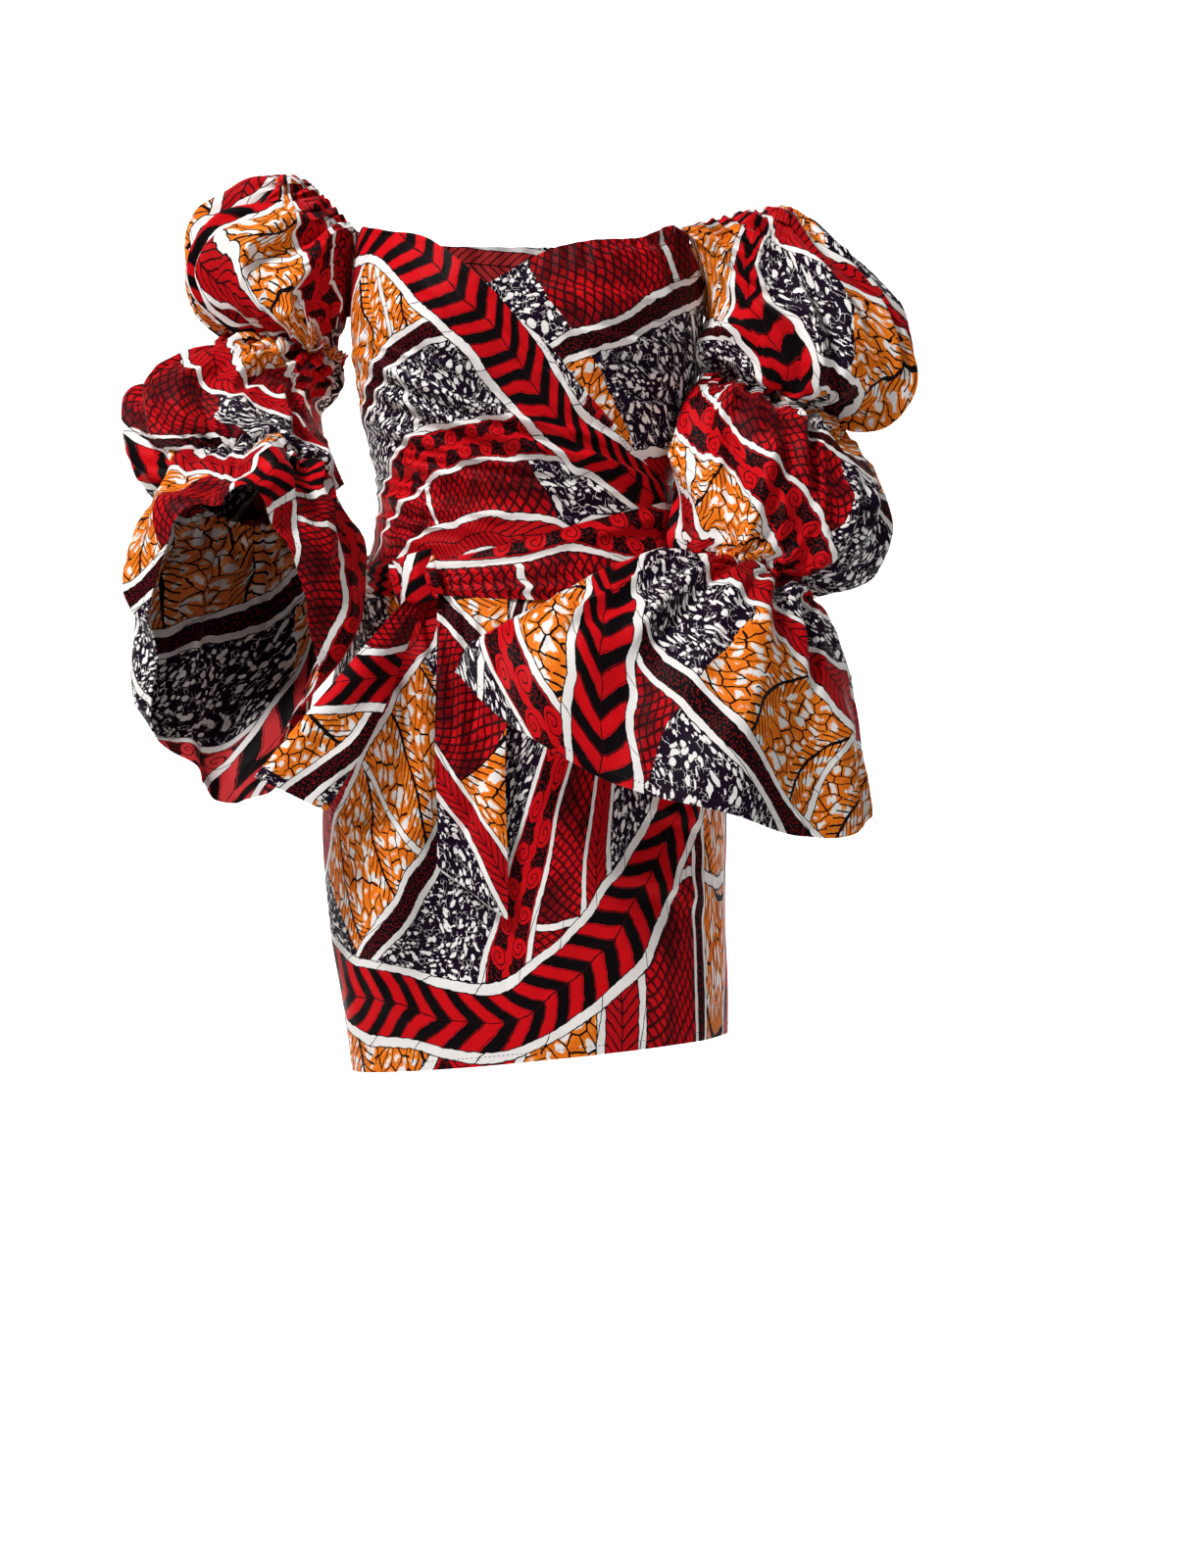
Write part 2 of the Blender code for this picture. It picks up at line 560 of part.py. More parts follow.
def add_sleeve(side, tables, collection, materials):
    upper, upper_elastic, lower, lower_elastic, flare, flutes = tables
    around = np.linspace(0.0, 2 * np.pi, SLEEVE_COLUMNS + 1)[:-1]
    mouth, sewn = mouth_points(side, around)
    first, second = elastic_points(upper_elastic, around), elastic_points(lower_elastic, around)
    puff_height = waves(around, PUFF_STEPS, PUFF_GATHER, PUFF_FOLDS, True)
    held = np.where(sewn[None, :], ease(np.array(PUFF_STEPS)[:, None] / 0.6), 1.0)
    bell_height = waves(around, BELL_STEPS, BELL_GATHER, flutes, False)
    pieces = {
        "upper_puff": ([mouth, *ring_list(upper, around), first], PUFF_STEPS, puff_height * held),
        "lower_puff": ([first, *ring_list(lower, around), second], PUFF_STEPS, puff_height),
        "bell": ([second, *ring_list(flare, around)], BELL_STEPS, bell_height),
    }
    outer = {name: sleeve_points(*piece, SLEEVE_CLEAR[name]) for name, piece in pieces.items()}
    out = {name: normals(points, True) for name, points in outer.items()}
    inner = {name: outer[name] - out[name] * WALL for name in pieces}
    for before, after in (("upper_puff", "lower_puff"), ("lower_puff", "bell")):
        cut = mitre(out[before][-1], out[after][0])
        along = outer[after][1] - outer[before][-2]
        along *= 0.7 * SEAM_GAP / np.linalg.norm(along, axis=-1, keepdims=True)
        outer[before][-1] -= along
        outer[after][0] += along
        inner[before][-1] = outer[before][-1] - cut
        inner[after][0] = outer[after][0] - cut
    for name in pieces:
        add_shell(f"{side}_sleeve_{name}", outer[name], inner[name], materials[name], collection, closed=True)


def ring_list(table, around):
    return [ring_points(row, around) for row in table]


def main():
    clear_scene()
    dress = bpy.data.collections.new("Ankara wrap dress")
    bpy.context.scene.collection.children.link(dress)
    red = cloth_material("Printed cotton, red ground", RED)
    purple = cloth_material("Printed cotton, purple ground", PURPLE)
    orange = cloth_material("Printed cotton, orange ground", ORANGE)
    add_body(dress, {"skirt": red, "bodice": orange})
    add_sash(dress, purple)
    add_knot(dress, red)
    add_side_tail(dress, orange)
    add_front_tail(dress, purple)
    sleeve_materials = {"upper_puff": red, "lower_puff": orange, "bell": purple}
    left = (LEFT_UPPER_PUFF, LEFT_UPPER_ELASTIC, LEFT_LOWER_PUFF, LEFT_LOWER_ELASTIC, LEFT_BELL, LEFT_FLUTES)
    right = (RIGHT_UPPER_PUFF, RIGHT_UPPER_ELASTIC, RIGHT_LOWER_PUFF, RIGHT_LOWER_ELASTIC, RIGHT_BELL, RIGHT_FLUTES)
    add_sleeve("left", left, dress, sleeve_materials)
    add_sleeve("right", right, dress, sleeve_materials)


main()
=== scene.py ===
# %% [markdown]
# A wrap dress in waxed cotton print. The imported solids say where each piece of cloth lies. This
# lesson makes each piece again as thin cloth with its folds, gathers and stitching, and prints it.
# The frame comes first, because every piece is tied to one of its nodes.

# %% Load the frame
import math
import bpy
import mathutils
import numpy as np
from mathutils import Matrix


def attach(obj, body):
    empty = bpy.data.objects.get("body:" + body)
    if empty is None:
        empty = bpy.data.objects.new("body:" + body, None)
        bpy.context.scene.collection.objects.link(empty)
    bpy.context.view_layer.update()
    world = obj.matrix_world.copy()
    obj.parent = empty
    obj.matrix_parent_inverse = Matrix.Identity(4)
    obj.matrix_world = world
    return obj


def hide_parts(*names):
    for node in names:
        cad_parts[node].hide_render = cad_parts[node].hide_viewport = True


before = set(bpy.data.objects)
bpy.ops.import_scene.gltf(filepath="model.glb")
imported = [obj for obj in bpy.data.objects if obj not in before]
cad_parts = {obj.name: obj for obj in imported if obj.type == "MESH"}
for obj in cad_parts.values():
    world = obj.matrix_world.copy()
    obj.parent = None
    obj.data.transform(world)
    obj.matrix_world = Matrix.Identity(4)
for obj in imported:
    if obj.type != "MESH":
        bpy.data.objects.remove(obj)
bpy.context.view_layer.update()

# %% [markdown]
# Cotton print for a dress is about a third of a millimetre thick. A single layer is drawn here at
# 0.6 mm, so that its cut edges still catch a little light. Where one piece lies on another, the
# upper one stands off by a layer, as real cloth does.

# %% Sizes of the cloth, in metres
CLOTH = 0.0006
SEAM_GAP = 0.0003
LAYER = 0.0024
HEM_DEPTH = 0.010

# %% [markdown]
# The dress was cut for a figure, so the body pieces lie on one: level sections, each rounder than
# a box and squarer than an ellipse, with the front and the back depth given apart.

# %% The figure's sections
ROUNDNESS = 2.2
FIGURE_COLUMNS = ("z", "half_width", "front", "back", "centre_x")
FIGURE = [
    (-0.680, 0.158, 0.105, 0.105, 0.012),
    (-0.580, 0.165, 0.109, 0.112, 0.005),
    (-0.500, 0.170, 0.112, 0.118, -0.002),
    (-0.420, 0.173, 0.113, 0.122, -0.004),
    (-0.350, 0.170, 0.111, 0.118, -0.003),
    (-0.285, 0.161, 0.105, 0.108, -0.003),
    (-0.235, 0.147, 0.097, 0.095, -0.003),
    (-0.190, 0.131, 0.090, 0.085, -0.003),
    (-0.145, 0.127, 0.088, 0.080, -0.002),
    (-0.100, 0.137, 0.093, 0.082, -0.002),
    (-0.050, 0.146, 0.101, 0.085, -0.002),
    (0.000, 0.151, 0.106, 0.088, -0.002),
    (0.040, 0.150, 0.102, 0.088, -0.002),
    (0.080, 0.146, 0.090, 0.085, -0.002),
    (0.120, 0.138, 0.078, 0.080, -0.002),
]
CUP_X = 0.072
CUP_Z = 0.005
CUP_WIDTH = 0.050
CUP_HEIGHT = 0.055
CUP_DEPTH = 0.016


def columns(names, rows):
    """A table as a dictionary of arrays, one for each named column."""
    return dict(zip(names, np.array(rows, float).T))


def smooth(at, known_at, known):
    """A cubic through known values: each span keeps the slope that its neighbours give its ends."""
    known_at = np.asarray(known_at, float)
    known = np.asarray(known, float)
    slope = np.gradient(known, known_at, axis=0)
    at = np.asarray(at, float)
    i = np.clip(np.searchsorted(known_at, at, side="right") - 1, 0, len(known_at) - 2)
    span = known_at[i + 1] - known_at[i]
    f = np.clip((at - known_at[i]) / span, 0.0, 1.0)
    extra = (1,) * (known.ndim - 1)
    f = f.reshape(f.shape + extra)
    span = span.reshape(span.shape + extra)
    return (
        known[i] * (1 + 2 * f) * (1 - f) ** 2
        + known[i + 1] * f * f * (3 - 2 * f)
        + slope[i] * span * f * (1 - f) ** 2
        - slope[i + 1] * span * f * f * (1 - f)
    )


def ease(share):
    """0 before 0, 1 after 1, and 3s^2 - 2s^3 between, so it starts and ends level."""
    share = np.clip(share, 0.0, 1.0)
    return share * share * (3 - 2 * share)


FIGURE_TABLE = columns(FIGURE_COLUMNS, FIGURE)


def figure_size(name, z):
    """One column of the figure's table, read at height z."""
    return smooth(z, FIGURE_TABLE["z"], FIGURE_TABLE[name])


def cup(x, z):
    """The two cups: a bell curve in x and in z, as deep as CUP_DEPTH."""
    fall = np.exp(-(((z - CUP_Z) / CUP_HEIGHT) ** 2))
    return CUP_DEPTH * fall * sum(np.exp(-(((x - side * CUP_X) / CUP_WIDTH) ** 2)) for side in (-1, 1))


def on_figure(z, turn, out=0.0):
    """The superellipse point at height z, turned from the front middle towards +X, moved out."""
    z, turn = np.broadcast_arrays(np.asarray(z, float), np.radians(turn))
    across, ahead = np.sin(turn), np.cos(turn)
    front, back = figure_size("front", z), figure_size("back", z)
    width = figure_size("half_width", z) + out
    depth = (front + back) / 2 + (front - back) / 2 * ahead + out
    stretch = (np.abs(across) ** ROUNDNESS + np.abs(ahead) ** ROUNDNESS) ** (-1 / ROUNDNESS)
    x = figure_size("centre_x", z) + width * across * stretch
    forward = np.clip(ahead, 0.0, None) ** 0.5
    y = -depth * ahead * stretch - cup(x, z) * forward
    return np.stack([x, y, z], axis=-1)


def front_y(x, z, out=0.0):
    """The figure's front surface at this x and z, moved out."""
    width = figure_size("half_width", z) + out
    front = figure_size("front", z) + out
    share = np.clip(np.abs((x - figure_size("centre_x", z)) / width), 0.0, 0.999)
    return -front * (1 - share**ROUNDNESS) ** (1 / ROUNDNESS)


print("figure sections", len(FIGURE))

# %% [markdown]
# A piece of cloth is a grid of points. Its two faces and its cut edges close into one thin solid,
# and its map holds the place of each point on the flat cloth in metres, so that the print keeps
# its scale. Blender's Solidify would do the wall too, but here the wall's normals come from the
# grid itself, so pieces that meet at a seam stay apart by the same gap all along it.

# %% Cloth from a grid
PIECES = {}
CUTS = {}
OUTER = {}
SHARP_DEG = 60


def normals(points, closed):
    """Unit normals: the cross product of the differences along rows and along columns."""
    down = np.gradient(points, axis=0)
    if closed:
        across = np.roll(points, -1, axis=1) - np.roll(points, 1, axis=1)
    else:
        across = np.gradient(points, axis=1)
    normal = np.cross(across, down)
    return normal / np.maximum(np.linalg.norm(normal, axis=-1, keepdims=True), 1e-12)


def quads(grid):
    """The four corners of every cell of a grid, in order round the cell."""
    corners = [grid[:-1, :-1], grid[:-1, 1:], grid[1:, 1:], grid[1:, :-1]]
    return np.stack(corners, axis=2).reshape(-1, 4, *grid.shape[2:])


def rim(line, behind):
    """The quads between two lines of the grid."""
    return np.stack([line[:-1], behind[:-1], behind[1:], line[1:]], axis=1)


def cut_of(flat):
    """The cut's greatest width and length, and its area as the sum of its cells."""
    width = np.linalg.norm(np.diff(flat, axis=1), axis=-1).sum(axis=1).max()
    length = np.linalg.norm(np.diff(flat, axis=0), axis=-1).sum(axis=0).max()
    cell = quads(flat)
    one, two = cell[:, 2] - cell[:, 0], cell[:, 3] - cell[:, 1]
    area = np.abs(one[:, 0] * two[:, 1] - one[:, 1] * two[:, 0]).sum() / 2
    return float(width), float(length), float(area)


def new_object(name, points, faces):
    """A mesh object in the scene, from its points and the corners of its faces."""
    mesh = bpy.data.meshes.new(name)
    mesh.from_pydata(points.reshape(-1, 3), [], faces.tolist())
    obj = bpy.data.objects.new(name, mesh)
    bpy.context.scene.collection.objects.link(obj)
    return obj


def add_cloth(name, outer, inner, flat, closed=False, cut=None):
    """A thin solid: the outer grid, the inner grid turned over, and the rims between their edges. Its
    map holds a place on the flat cloth for each face's corners, and a mark is 1 on the inner face.
    The cut is its width, length and area before it was sewn, and comes from its map if not given."""
    rows, across = outer.shape[:2]
    front = np.arange(rows * across).reshape(rows, across)
    if closed:
        front = np.hstack([front, front[:, :1]])
    back = front + rows * across
    faces = [quads(front), quads(back)[:, ::-1], rim(front[0], back[0]), rim(back[-1], front[-1])]
    maps = [quads(flat), quads(flat)[:, ::-1], rim(flat[0], flat[0]), rim(flat[-1], flat[-1])]
    if not closed:
        faces += [rim(back[:, 0], front[:, 0]), rim(front[:, -1], back[:, -1])]
        maps += [rim(flat[:, 0], flat[:, 0]), rim(flat[:, -1], flat[:, -1])]
    obj = new_object(name, np.concatenate([outer, inner]), np.concatenate(faces))
    mesh = obj.data
    layer = mesh.uv_layers.new(name="cloth")
    layer.data.foreach_set("uv", np.concatenate(maps).astype(np.float32).ravel())
    mark = mesh.attributes.new("inside", "FLOAT", "POINT")
    mark.data.foreach_set("value", np.repeat([0.0, 1.0], rows * across).astype(np.float32))
    mesh.shade_smooth()
    mesh.set_sharp_from_angle(angle=math.radians(SHARP_DEG))
    PIECES[name] = obj
    CUTS[name] = cut or cut_of(flat)
    print(name, "faces", len(mesh.polygons))


def turn_map(u, v, turned_deg, shift):
    """Turns a place on the flat cloth and shifts it."""
    angle = math.radians(turned_deg)
    turned = [u * math.cos(angle) - v * math.sin(angle), u * math.sin(angle) + v * math.cos(angle)]
    return np.stack([turned[0] + shift[0], turned[1] + shift[1]], axis=-1)


def run_length(points, axis=0):
    """The length run from the first point, down a grid's columns (0) or along its rows (1)."""
    run = np.cumsum(np.linalg.norm(np.diff(points, axis=axis), axis=-1), axis=axis)
    return np.concatenate([np.zeros_like(run.take([0], axis=axis)), run], axis=axis)


def run_share(points, axis):
    """The length run along a grid's rows or columns, over the whole length of each. The cloth is
    used up in its folds, so the print closes up on their steep sides."""
    run = run_length(points, axis)
    return run / run.take([-1], axis=axis)


def flat_map(points, turned_deg=0, shift=(0, 0), down=False):
    """Lays a grid flat: lengths along its rows from the middle column, and down its rows the height
    z or the length of the middle column, then a turn and a shift on the cloth."""
    middle = points.shape[1] // 2
    along = run_length(points, 1)
    v = points[..., 2]
    if down:
        v = np.tile(run_length(points[:, middle])[:, None], (1, points.shape[1]))
    return turn_map(along - along[:, middle : middle + 1], v, turned_deg, shift)


PATH_STEPS = 400
PATH_BLUR = 15


def follow(u, z, path, reach, shift):
    """Lays a panel so that a strip of the print follows a path on it: the distance from the path
    and the length along its foot, where a point's height over the path is split by the slope, which
    is evened out over a few steps. Past reach the print no longer closes up towards the middle of
    the path's bend."""
    path_u, path_z = np.array(path, float).T
    fine = np.linspace(path_u[0], path_u[-1], PATH_STEPS)
    fine_z = smooth(fine, path_u, path_z)
    slope = np.pad(np.gradient(fine_z, fine), PATH_BLUR, mode="edge")
    slope = np.convolve(slope, np.ones(2 * PATH_BLUR + 1) / (2 * PATH_BLUR + 1), mode="valid")
    angle = np.arctan(np.interp(u, fine, slope))
    over = z - smooth(u, path_u, path_z)
    beyond = np.clip(u - fine[-1], 0, None) + np.clip(u - fine[0], None, 0)
    length = np.interp(u, fine, run_length(np.stack([fine, fine_z], axis=-1))) + beyond
    near = reach * np.tanh(over / reach)
    return np.stack([-over * np.cos(angle) + shift[0], length + near * np.sin(angle) + shift[1]], axis=-1)


# %% [markdown]
# Folds are what make it cloth. Each main fold is a row of a table: where it
# starts and ends on the piece, how high it stands and how wide it is. A fold is a soft ridge with
# a trough beside it. It is steeper on the trough's side, as crisp cotton is, and dies at its ends.

# %% Folds
STEEP_SIDE = 0.50
EASY_SIDE = 1.45
TROUGH = 0.50
TROUGH_AT = 1.25
TROUGH_WIDTH = 0.70
BOW = 0.05
FOLD_RISE = 0.42
FOLD_OVERRUN = 0.12


def folds(a, b, rows, wrap=None):
    """The height that a table of folds adds at (a, b). A row is where a fold starts and ends, its
    height and its width. It adds exp(-(d/w)^1.6), where d is the distance from its line, which is
    slightly bowed, and w is smaller on the steep side, less half of such a bell beside it on that
    side, times a taper. With wrap, a closes up after that length."""
    height = np.zeros(np.broadcast(a, b).shape)
    for a0, b0, a1, b1, size, width in rows:
        da, db = a1 - a0, b1 - b0
        length = math.hypot(da, db)
        off_a, off_b = a - a0, b - b0
        if wrap:
            off_a = off_a - wrap * np.round((off_a - da / 2) / wrap)
        along = (off_a * da + off_b * db) / length**2
        aside = (off_a * db - off_b * da) / length
        aside = aside - BOW * length * (1 - (2 * along - 1) ** 2)
        taper = ease((along + FOLD_OVERRUN) / FOLD_RISE) * ease((1 + FOLD_OVERRUN - along) / FOLD_RISE)
        sharp = np.where(aside < 0, STEEP_SIDE * width, EASY_SIDE * width)
        ridge = np.exp(-(np.abs(aside / sharp) ** 1.6))
        ridge = ridge - TROUGH * np.exp(-(((aside + TROUGH_AT * width) / (TROUGH_WIDTH * width)) ** 2))
        height = height + size * ridge * taper
    return height


def ripple(a, b, rows):
    """Small unevenness: a sum of sines, each with its own lengths along a and b in metres."""
    return sum(size * np.sin(2 * np.pi * (a / la + b / lb) + phase) for size, la, lb, phase in rows)


def shirring(a, size, length, drift, slow):
    """Fine gathers at an elastic edge: a sine whose phase drifts by a slower sine."""
    return size * np.sin(a / length + drift * np.sin(a / slow))


# %% [markdown]
# The bodice is a front that crosses over, a front under it and a back. The wrap pulls the over
# front towards the wearer's left side of the waist, so its folds fan out from there.

# %% Edges of the body pieces
WAIST_Z = -0.206
WAIST_SLOPE = 0.06
HEM_Z = -0.623
HEM_SLOPE = 0.10
EDGE_COLUMNS = ("turn", "z")
OVER_EDGE = [
    (-90, 0.005), (-81, 0.045), (-72, 0.073), (-60, 0.073), (-48, 0.067), (-31, 0.056), (-21, 0.037),
    (-11, 0.014), (-2, -0.012), (8, -0.034), (17, -0.061), (28, -0.088), (41, -0.115), (78, -0.146),
    (90, -0.150),
]
UNDER_EDGE = [
    (-90, -0.140), (-50, -0.080), (-30, -0.030), (-13, 0.013), (-5, 0.026), (7, 0.044),
    (20, 0.053), (37, 0.058), (59, 0.073), (75, 0.045), (90, 0.005),
]
BACK_EDGE = [
    (90, 0.005), (105, 0.045), (119, 0.073), (150, 0.078), (180, 0.080), (215, 0.079),
    (246, 0.075), (258, 0.045), (270, 0.005),
]
SASH_COLUMNS = ("turn", "top", "bottom")
SASH = [
    (-180, -0.172, -0.224), (-135, -0.185, -0.227), (-90, -0.200, -0.236), (-60, -0.208, -0.239),
    (-38, -0.211, -0.238), (-20, -0.205, -0.240), (0, -0.193, -0.243), (22, -0.178, -0.243),
    (45, -0.165, -0.240), (70, -0.155, -0.232), (90, -0.154, -0.226), (135, -0.162, -0.222),
    (180, -0.172, -0.224),
]


def edge(rows):
    """A curve of z by turn through a table's rows."""
    table = columns(EDGE_COLUMNS, rows)
    return lambda turn: smooth(turn, table["turn"], table["z"])


over_edge = edge(OVER_EDGE)
under_edge = edge(UNDER_EDGE)
back_edge = edge(BACK_EDGE)
SASH_TABLE = columns(SASH_COLUMNS, SASH)


def waist_z(turn):
    """The waist seam: level from front to back, and higher on the left side."""
    return WAIST_Z + WAIST_SLOPE * figure_size("half_width", WAIST_Z) * np.sin(np.radians(turn))


def hem_z(turn):
    """The skirt's hem, which slants as the waist seam does, and a little more."""
    return HEM_Z + HEM_SLOPE * figure_size("half_width", HEM_Z) * np.sin(np.radians(turn))


def sash_edge(name, turn):
    """The sash's top or bottom edge."""
    return smooth(turn, SASH_TABLE["turn"], SASH_TABLE[name])


# %% Folds of the body pieces
# A row is where a fold starts, where it ends, its height and its width. Places are x and z on the
# front bodice pieces. On the back and the skirt they are the turn as an arc, and z.
ARC = 0.145
SKIRT_ARC = ARC * 1.1
OVER_FOLDS = [
    (-0.146, -0.030, 0.060, -0.108, 0.0096, 0.0075),
    (-0.148, -0.052, 0.085, -0.130, 0.0073, 0.0066),
    (-0.140, -0.083, 0.030, -0.140, 0.0088, 0.0079),
    (-0.135, -0.115, 0.070, -0.152, 0.0063, 0.0070),
    (-0.133, -0.146, -0.010, -0.172, 0.0070, 0.0070),
    (-0.120, 0.020, -0.010, -0.062, 0.0046, 0.0097),
    (-0.030, -0.010, 0.095, -0.112, 0.0053, 0.0070),
    (-0.060, -0.175, -0.010, -0.195, 0.0042, 0.0062),
    (-0.136, 0.048, -0.095, 0.012, 0.0039, 0.0070),
    (-0.128, -0.180, -0.060, -0.197, 0.0053, 0.0057),
    (0.020, -0.100, 0.110, -0.142, 0.0056, 0.0053),
    (-0.150, -0.012, -0.060, -0.052, 0.0040, 0.0045),
    (-0.149, -0.068, -0.075, -0.098, 0.0042, 0.0040),
    (-0.142, -0.100, -0.050, -0.128, 0.0044, 0.0046),
    (-0.138, -0.131, -0.070, -0.152, 0.0042, 0.0040),
    (-0.134, -0.165, -0.065, -0.182, 0.0040, 0.0040),
]
UNDER_FOLDS = [
    (0.000, 0.018, 0.118, 0.008, 0.0051, 0.0072),
    (0.010, -0.012, 0.128, -0.030, 0.0065, 0.0068),
    (0.040, -0.042, 0.132, -0.052, 0.0058, 0.0059),
    (0.055, 0.046, 0.110, 0.050, 0.0034, 0.0051),
    (0.060, -0.070, 0.130, -0.078, 0.0044, 0.0055),
    (0.100, 0.060, 0.128, 0.000, 0.0044, 0.0059),
]
BACK_FOLDS = [
    (0.262, -0.045, 0.390, -0.075, 0.0044, 0.0099),
    (0.640, -0.050, 0.500, -0.086, 0.0048, 0.0090),
    (0.300, -0.110, 0.420, -0.128, 0.0037, 0.0081),
    (0.610, -0.118, 0.480, -0.135, 0.0041, 0.0081),
    (0.380, 0.045, 0.430, -0.030, 0.0027, 0.0108),
]
SKIRT_FOLDS = [
    (-0.160, -0.262, -0.020, -0.300, 0.0052, 0.0090),
    (-0.165, -0.300, -0.070, -0.322, 0.0040, 0.0070),
    (0.165, -0.285, 0.020, -0.330, 0.0046, 0.0095),
    (0.170, -0.345, 0.070, -0.372, 0.0038, 0.0080),
    (-0.170, -0.420, -0.060, -0.445, 0.0036, 0.0105),
    (-0.165, -0.470, -0.090, -0.500, 0.0028, 0.0085),
    (0.170, -0.500, 0.060, -0.470, 0.0040, 0.0105),
    (0.165, -0.430, 0.085, -0.418, 0.0030, 0.0075),
    (-0.010, -0.560, 0.050, -0.600, 0.0022, 0.0110),
    (-0.140, -0.555, -0.080, -0.600, 0.0022, 0.0095),
]
# Ripples: the height of each wave, its lengths along a and b, and its phase
OVER_RIPPLE = [(0.0005, 0.071, 0.043, 1.0), (0.0004, -0.050, 0.031, 2.0)]
SKIRT_RIPPLE = [(0.0006, 0.110, 0.190, 0.4), (0.0004, -0.060, 0.110, 2.2)]
# Shirring: its height, its wavelength over 2 pi, how far its phase drifts and over what length
UNDER_SHIRRING = (0.0014, 0.0021, 1.2, 0.017)
BACK_SHIRRING = (0.0013, 0.0034, 1.4, 0.031)
# How deep a trough may go, so that it stays clear of the layer below
OVER_LOWEST = -0.0006
UNDER_LOWEST = -0.0022
BACK_LOWEST = -0.0015


def over_out(z, turn):
    """Folds of the over front. They die over 7 degrees at its side seam, over 16 where the sleeve is
    sewn on, and over 24 mm above the sash."""
    a = on_figure(z, turn)[..., 0]
    by_sleeve = ease((z + 0.02) / 0.03)
    held = ease((turn + 87 - 9 * by_sleeve) / (7 + 9 * by_sleeve))
    held = held * ease((z - sash_edge("top", turn) + 0.006) / 0.024)
    height = folds(a, z, OVER_FOLDS) + ripple(a, z, OVER_RIPPLE)
    return np.maximum(height * held, OVER_LOWEST)


def under_out(z, turn):
    """The under front lies a layer in, and comes up to the surface over 25 mm above the edge of the
    over front. It is shirred within 30 mm of its neck edge."""
    free = ease((z - over_edge(turn) - 0.010) / 0.025)
    a = on_figure(z, turn)[..., 0]
    near_top = ease((z - under_edge(turn) + 0.030) / 0.024)
    fine = shirring(a, *UNDER_SHIRRING) * near_top * ease((turn + 2) / 12)
    height = folds(a, z, UNDER_FOLDS) * ease((90 - turn) / 14) + fine * ease((88 - turn) / 10)
    return -LAYER * (1 - free) + np.maximum(height, UNDER_LOWEST) * free


def back_out(z, turn):
    """The back is held by elastic at its neck edge, in small gathers, and has a few soft folds."""
    a = ARC * np.radians(turn)
    near_top = ease((z - back_edge(turn) + 0.045) / 0.040)
    at_seam = ease((turn - 90) / 12) * ease((270 - turn) / 12)
    height = np.maximum(folds(a, z, BACK_FOLDS), BACK_LOWEST) + shirring(a, *BACK_SHIRRING) * near_top
    return height * at_seam * ease((z - waist_z(turn) - 0.01) / 0.03)


def skirt_out(z, turn):
    """The skirt is close to the body, with a few drag lines from the hips. They die over 10 degrees
    at the side seams and over 30 mm below the waist."""
    a = SKIRT_ARC * np.radians(np.where(turn > 90, 180 - turn, turn))
    at_seam = ease(np.abs(np.abs((turn + 180) % 360 - 180) - 90) / 10)
    below = ease((waist_z(turn) - z - 0.030) / 0.03)
    return (folds(a, z, SKIRT_FOLDS) + ripple(a, z, SKIRT_RIPPLE)) * at_seam * below


# %% Make the body pieces
# The print's path on two panels, by arc from the middle column and height: a strip of chevrons
# follows the wrap's neck edge, and another sweeps up across the skirt.
NECK_PATH = [
    (-0.200, 0.078), (-0.150, 0.062), (-0.115, 0.042), (-0.080, 0.018), (-0.045, -0.012), (-0.015, -0.045),
    (0.015, -0.078), (0.045, -0.105), (0.085, -0.130), (0.130, -0.148), (0.200, -0.162),
]
SKIRT_PATH = [
    (-0.230, -0.540), (-0.170, -0.572), (-0.110, -0.590), (-0.050, -0.592), (0.000, -0.578),
    (0.050, -0.545), (0.090, -0.500), (0.125, -0.440), (0.160, -0.375), (0.230, -0.290),
]
SEAM_RADIUS = 0.080


def slack(points, plain):
    """How much longer a column is than on the plain figure, counted from its top edge down."""
    more = run_length(points) - run_length(plain)
    return more[-1] - more


def body_piece(name, turns, rows, bottom, top, out, laid, hem=0):
    """A panel between two turns and two edges, as rows from the bottom to the top. Its hem is
    turned up inside, so it is twice as thick there. laid is a function that lays its map on the
    print, with its values. A fold uses up cloth, so the print jumps across it by the slack."""
    first, last, across = turns
    inset = np.degrees(SEAM_GAP / 2 / SEAM_RADIUS)
    turn, share = np.meshgrid(np.linspace(first + inset, last - inset, across), np.linspace(0.0, 1.0, rows))
    z = bottom(turn) + (top(turn) - bottom(turn)) * share
    raised = out(z, turn)
    thick = CLOTH * (1 + (z - bottom(turn) < hem))
    outer, inner = on_figure(z, turn, raised), on_figure(z, turn, raised - thick)
    OUTER[name] = outer
    base = flat_map(outer)
    lay, *values = laid
    flat = lay(base[..., 0], base[..., 1] - slack(outer, on_figure(z, turn)), *values)
    add_cloth(name, outer, inner, flat, cut=cut_of(base))


def above_waist(turn):
    """The lower edge of the bodice pieces."""
    return waist_z(turn) + SEAM_GAP / 2


def below_waist(turn):
    """The upper edge of the skirt pieces."""
    return waist_z(turn) - SEAM_GAP / 2


body_piece(
    "cloth_skirt_front", (-90, 90, 130), 96, hem_z, below_waist, skirt_out,
    (follow, SKIRT_PATH, 0.09, (0.0, 0.11)), HEM_DEPTH,
)
body_piece(
    "cloth_skirt_back", (90, 270, 110), 90, hem_z, below_waist, skirt_out,
    (turn_map, -20, (0.86, 0.50)), HEM_DEPTH,
)
body_piece(
    "cloth_bodice_front_over", (-90, 90, 196), 160, above_waist, over_edge, over_out,
    (follow, NECK_PATH, 2.0, (0.0, 0.0)),
)
body_piece(
    "cloth_bodice_front_under", (-84, 90, 180), 84, above_waist, under_edge, under_out,
    (turn_map, -60, (0.20, 0.10)),
)
body_piece(
    "cloth_bodice_back", (90, 270, 170), 60, above_waist, back_edge, back_out,
    (turn_map, -40, (0.50, 1.24)),
)
print("body pieces", len(PIECES))


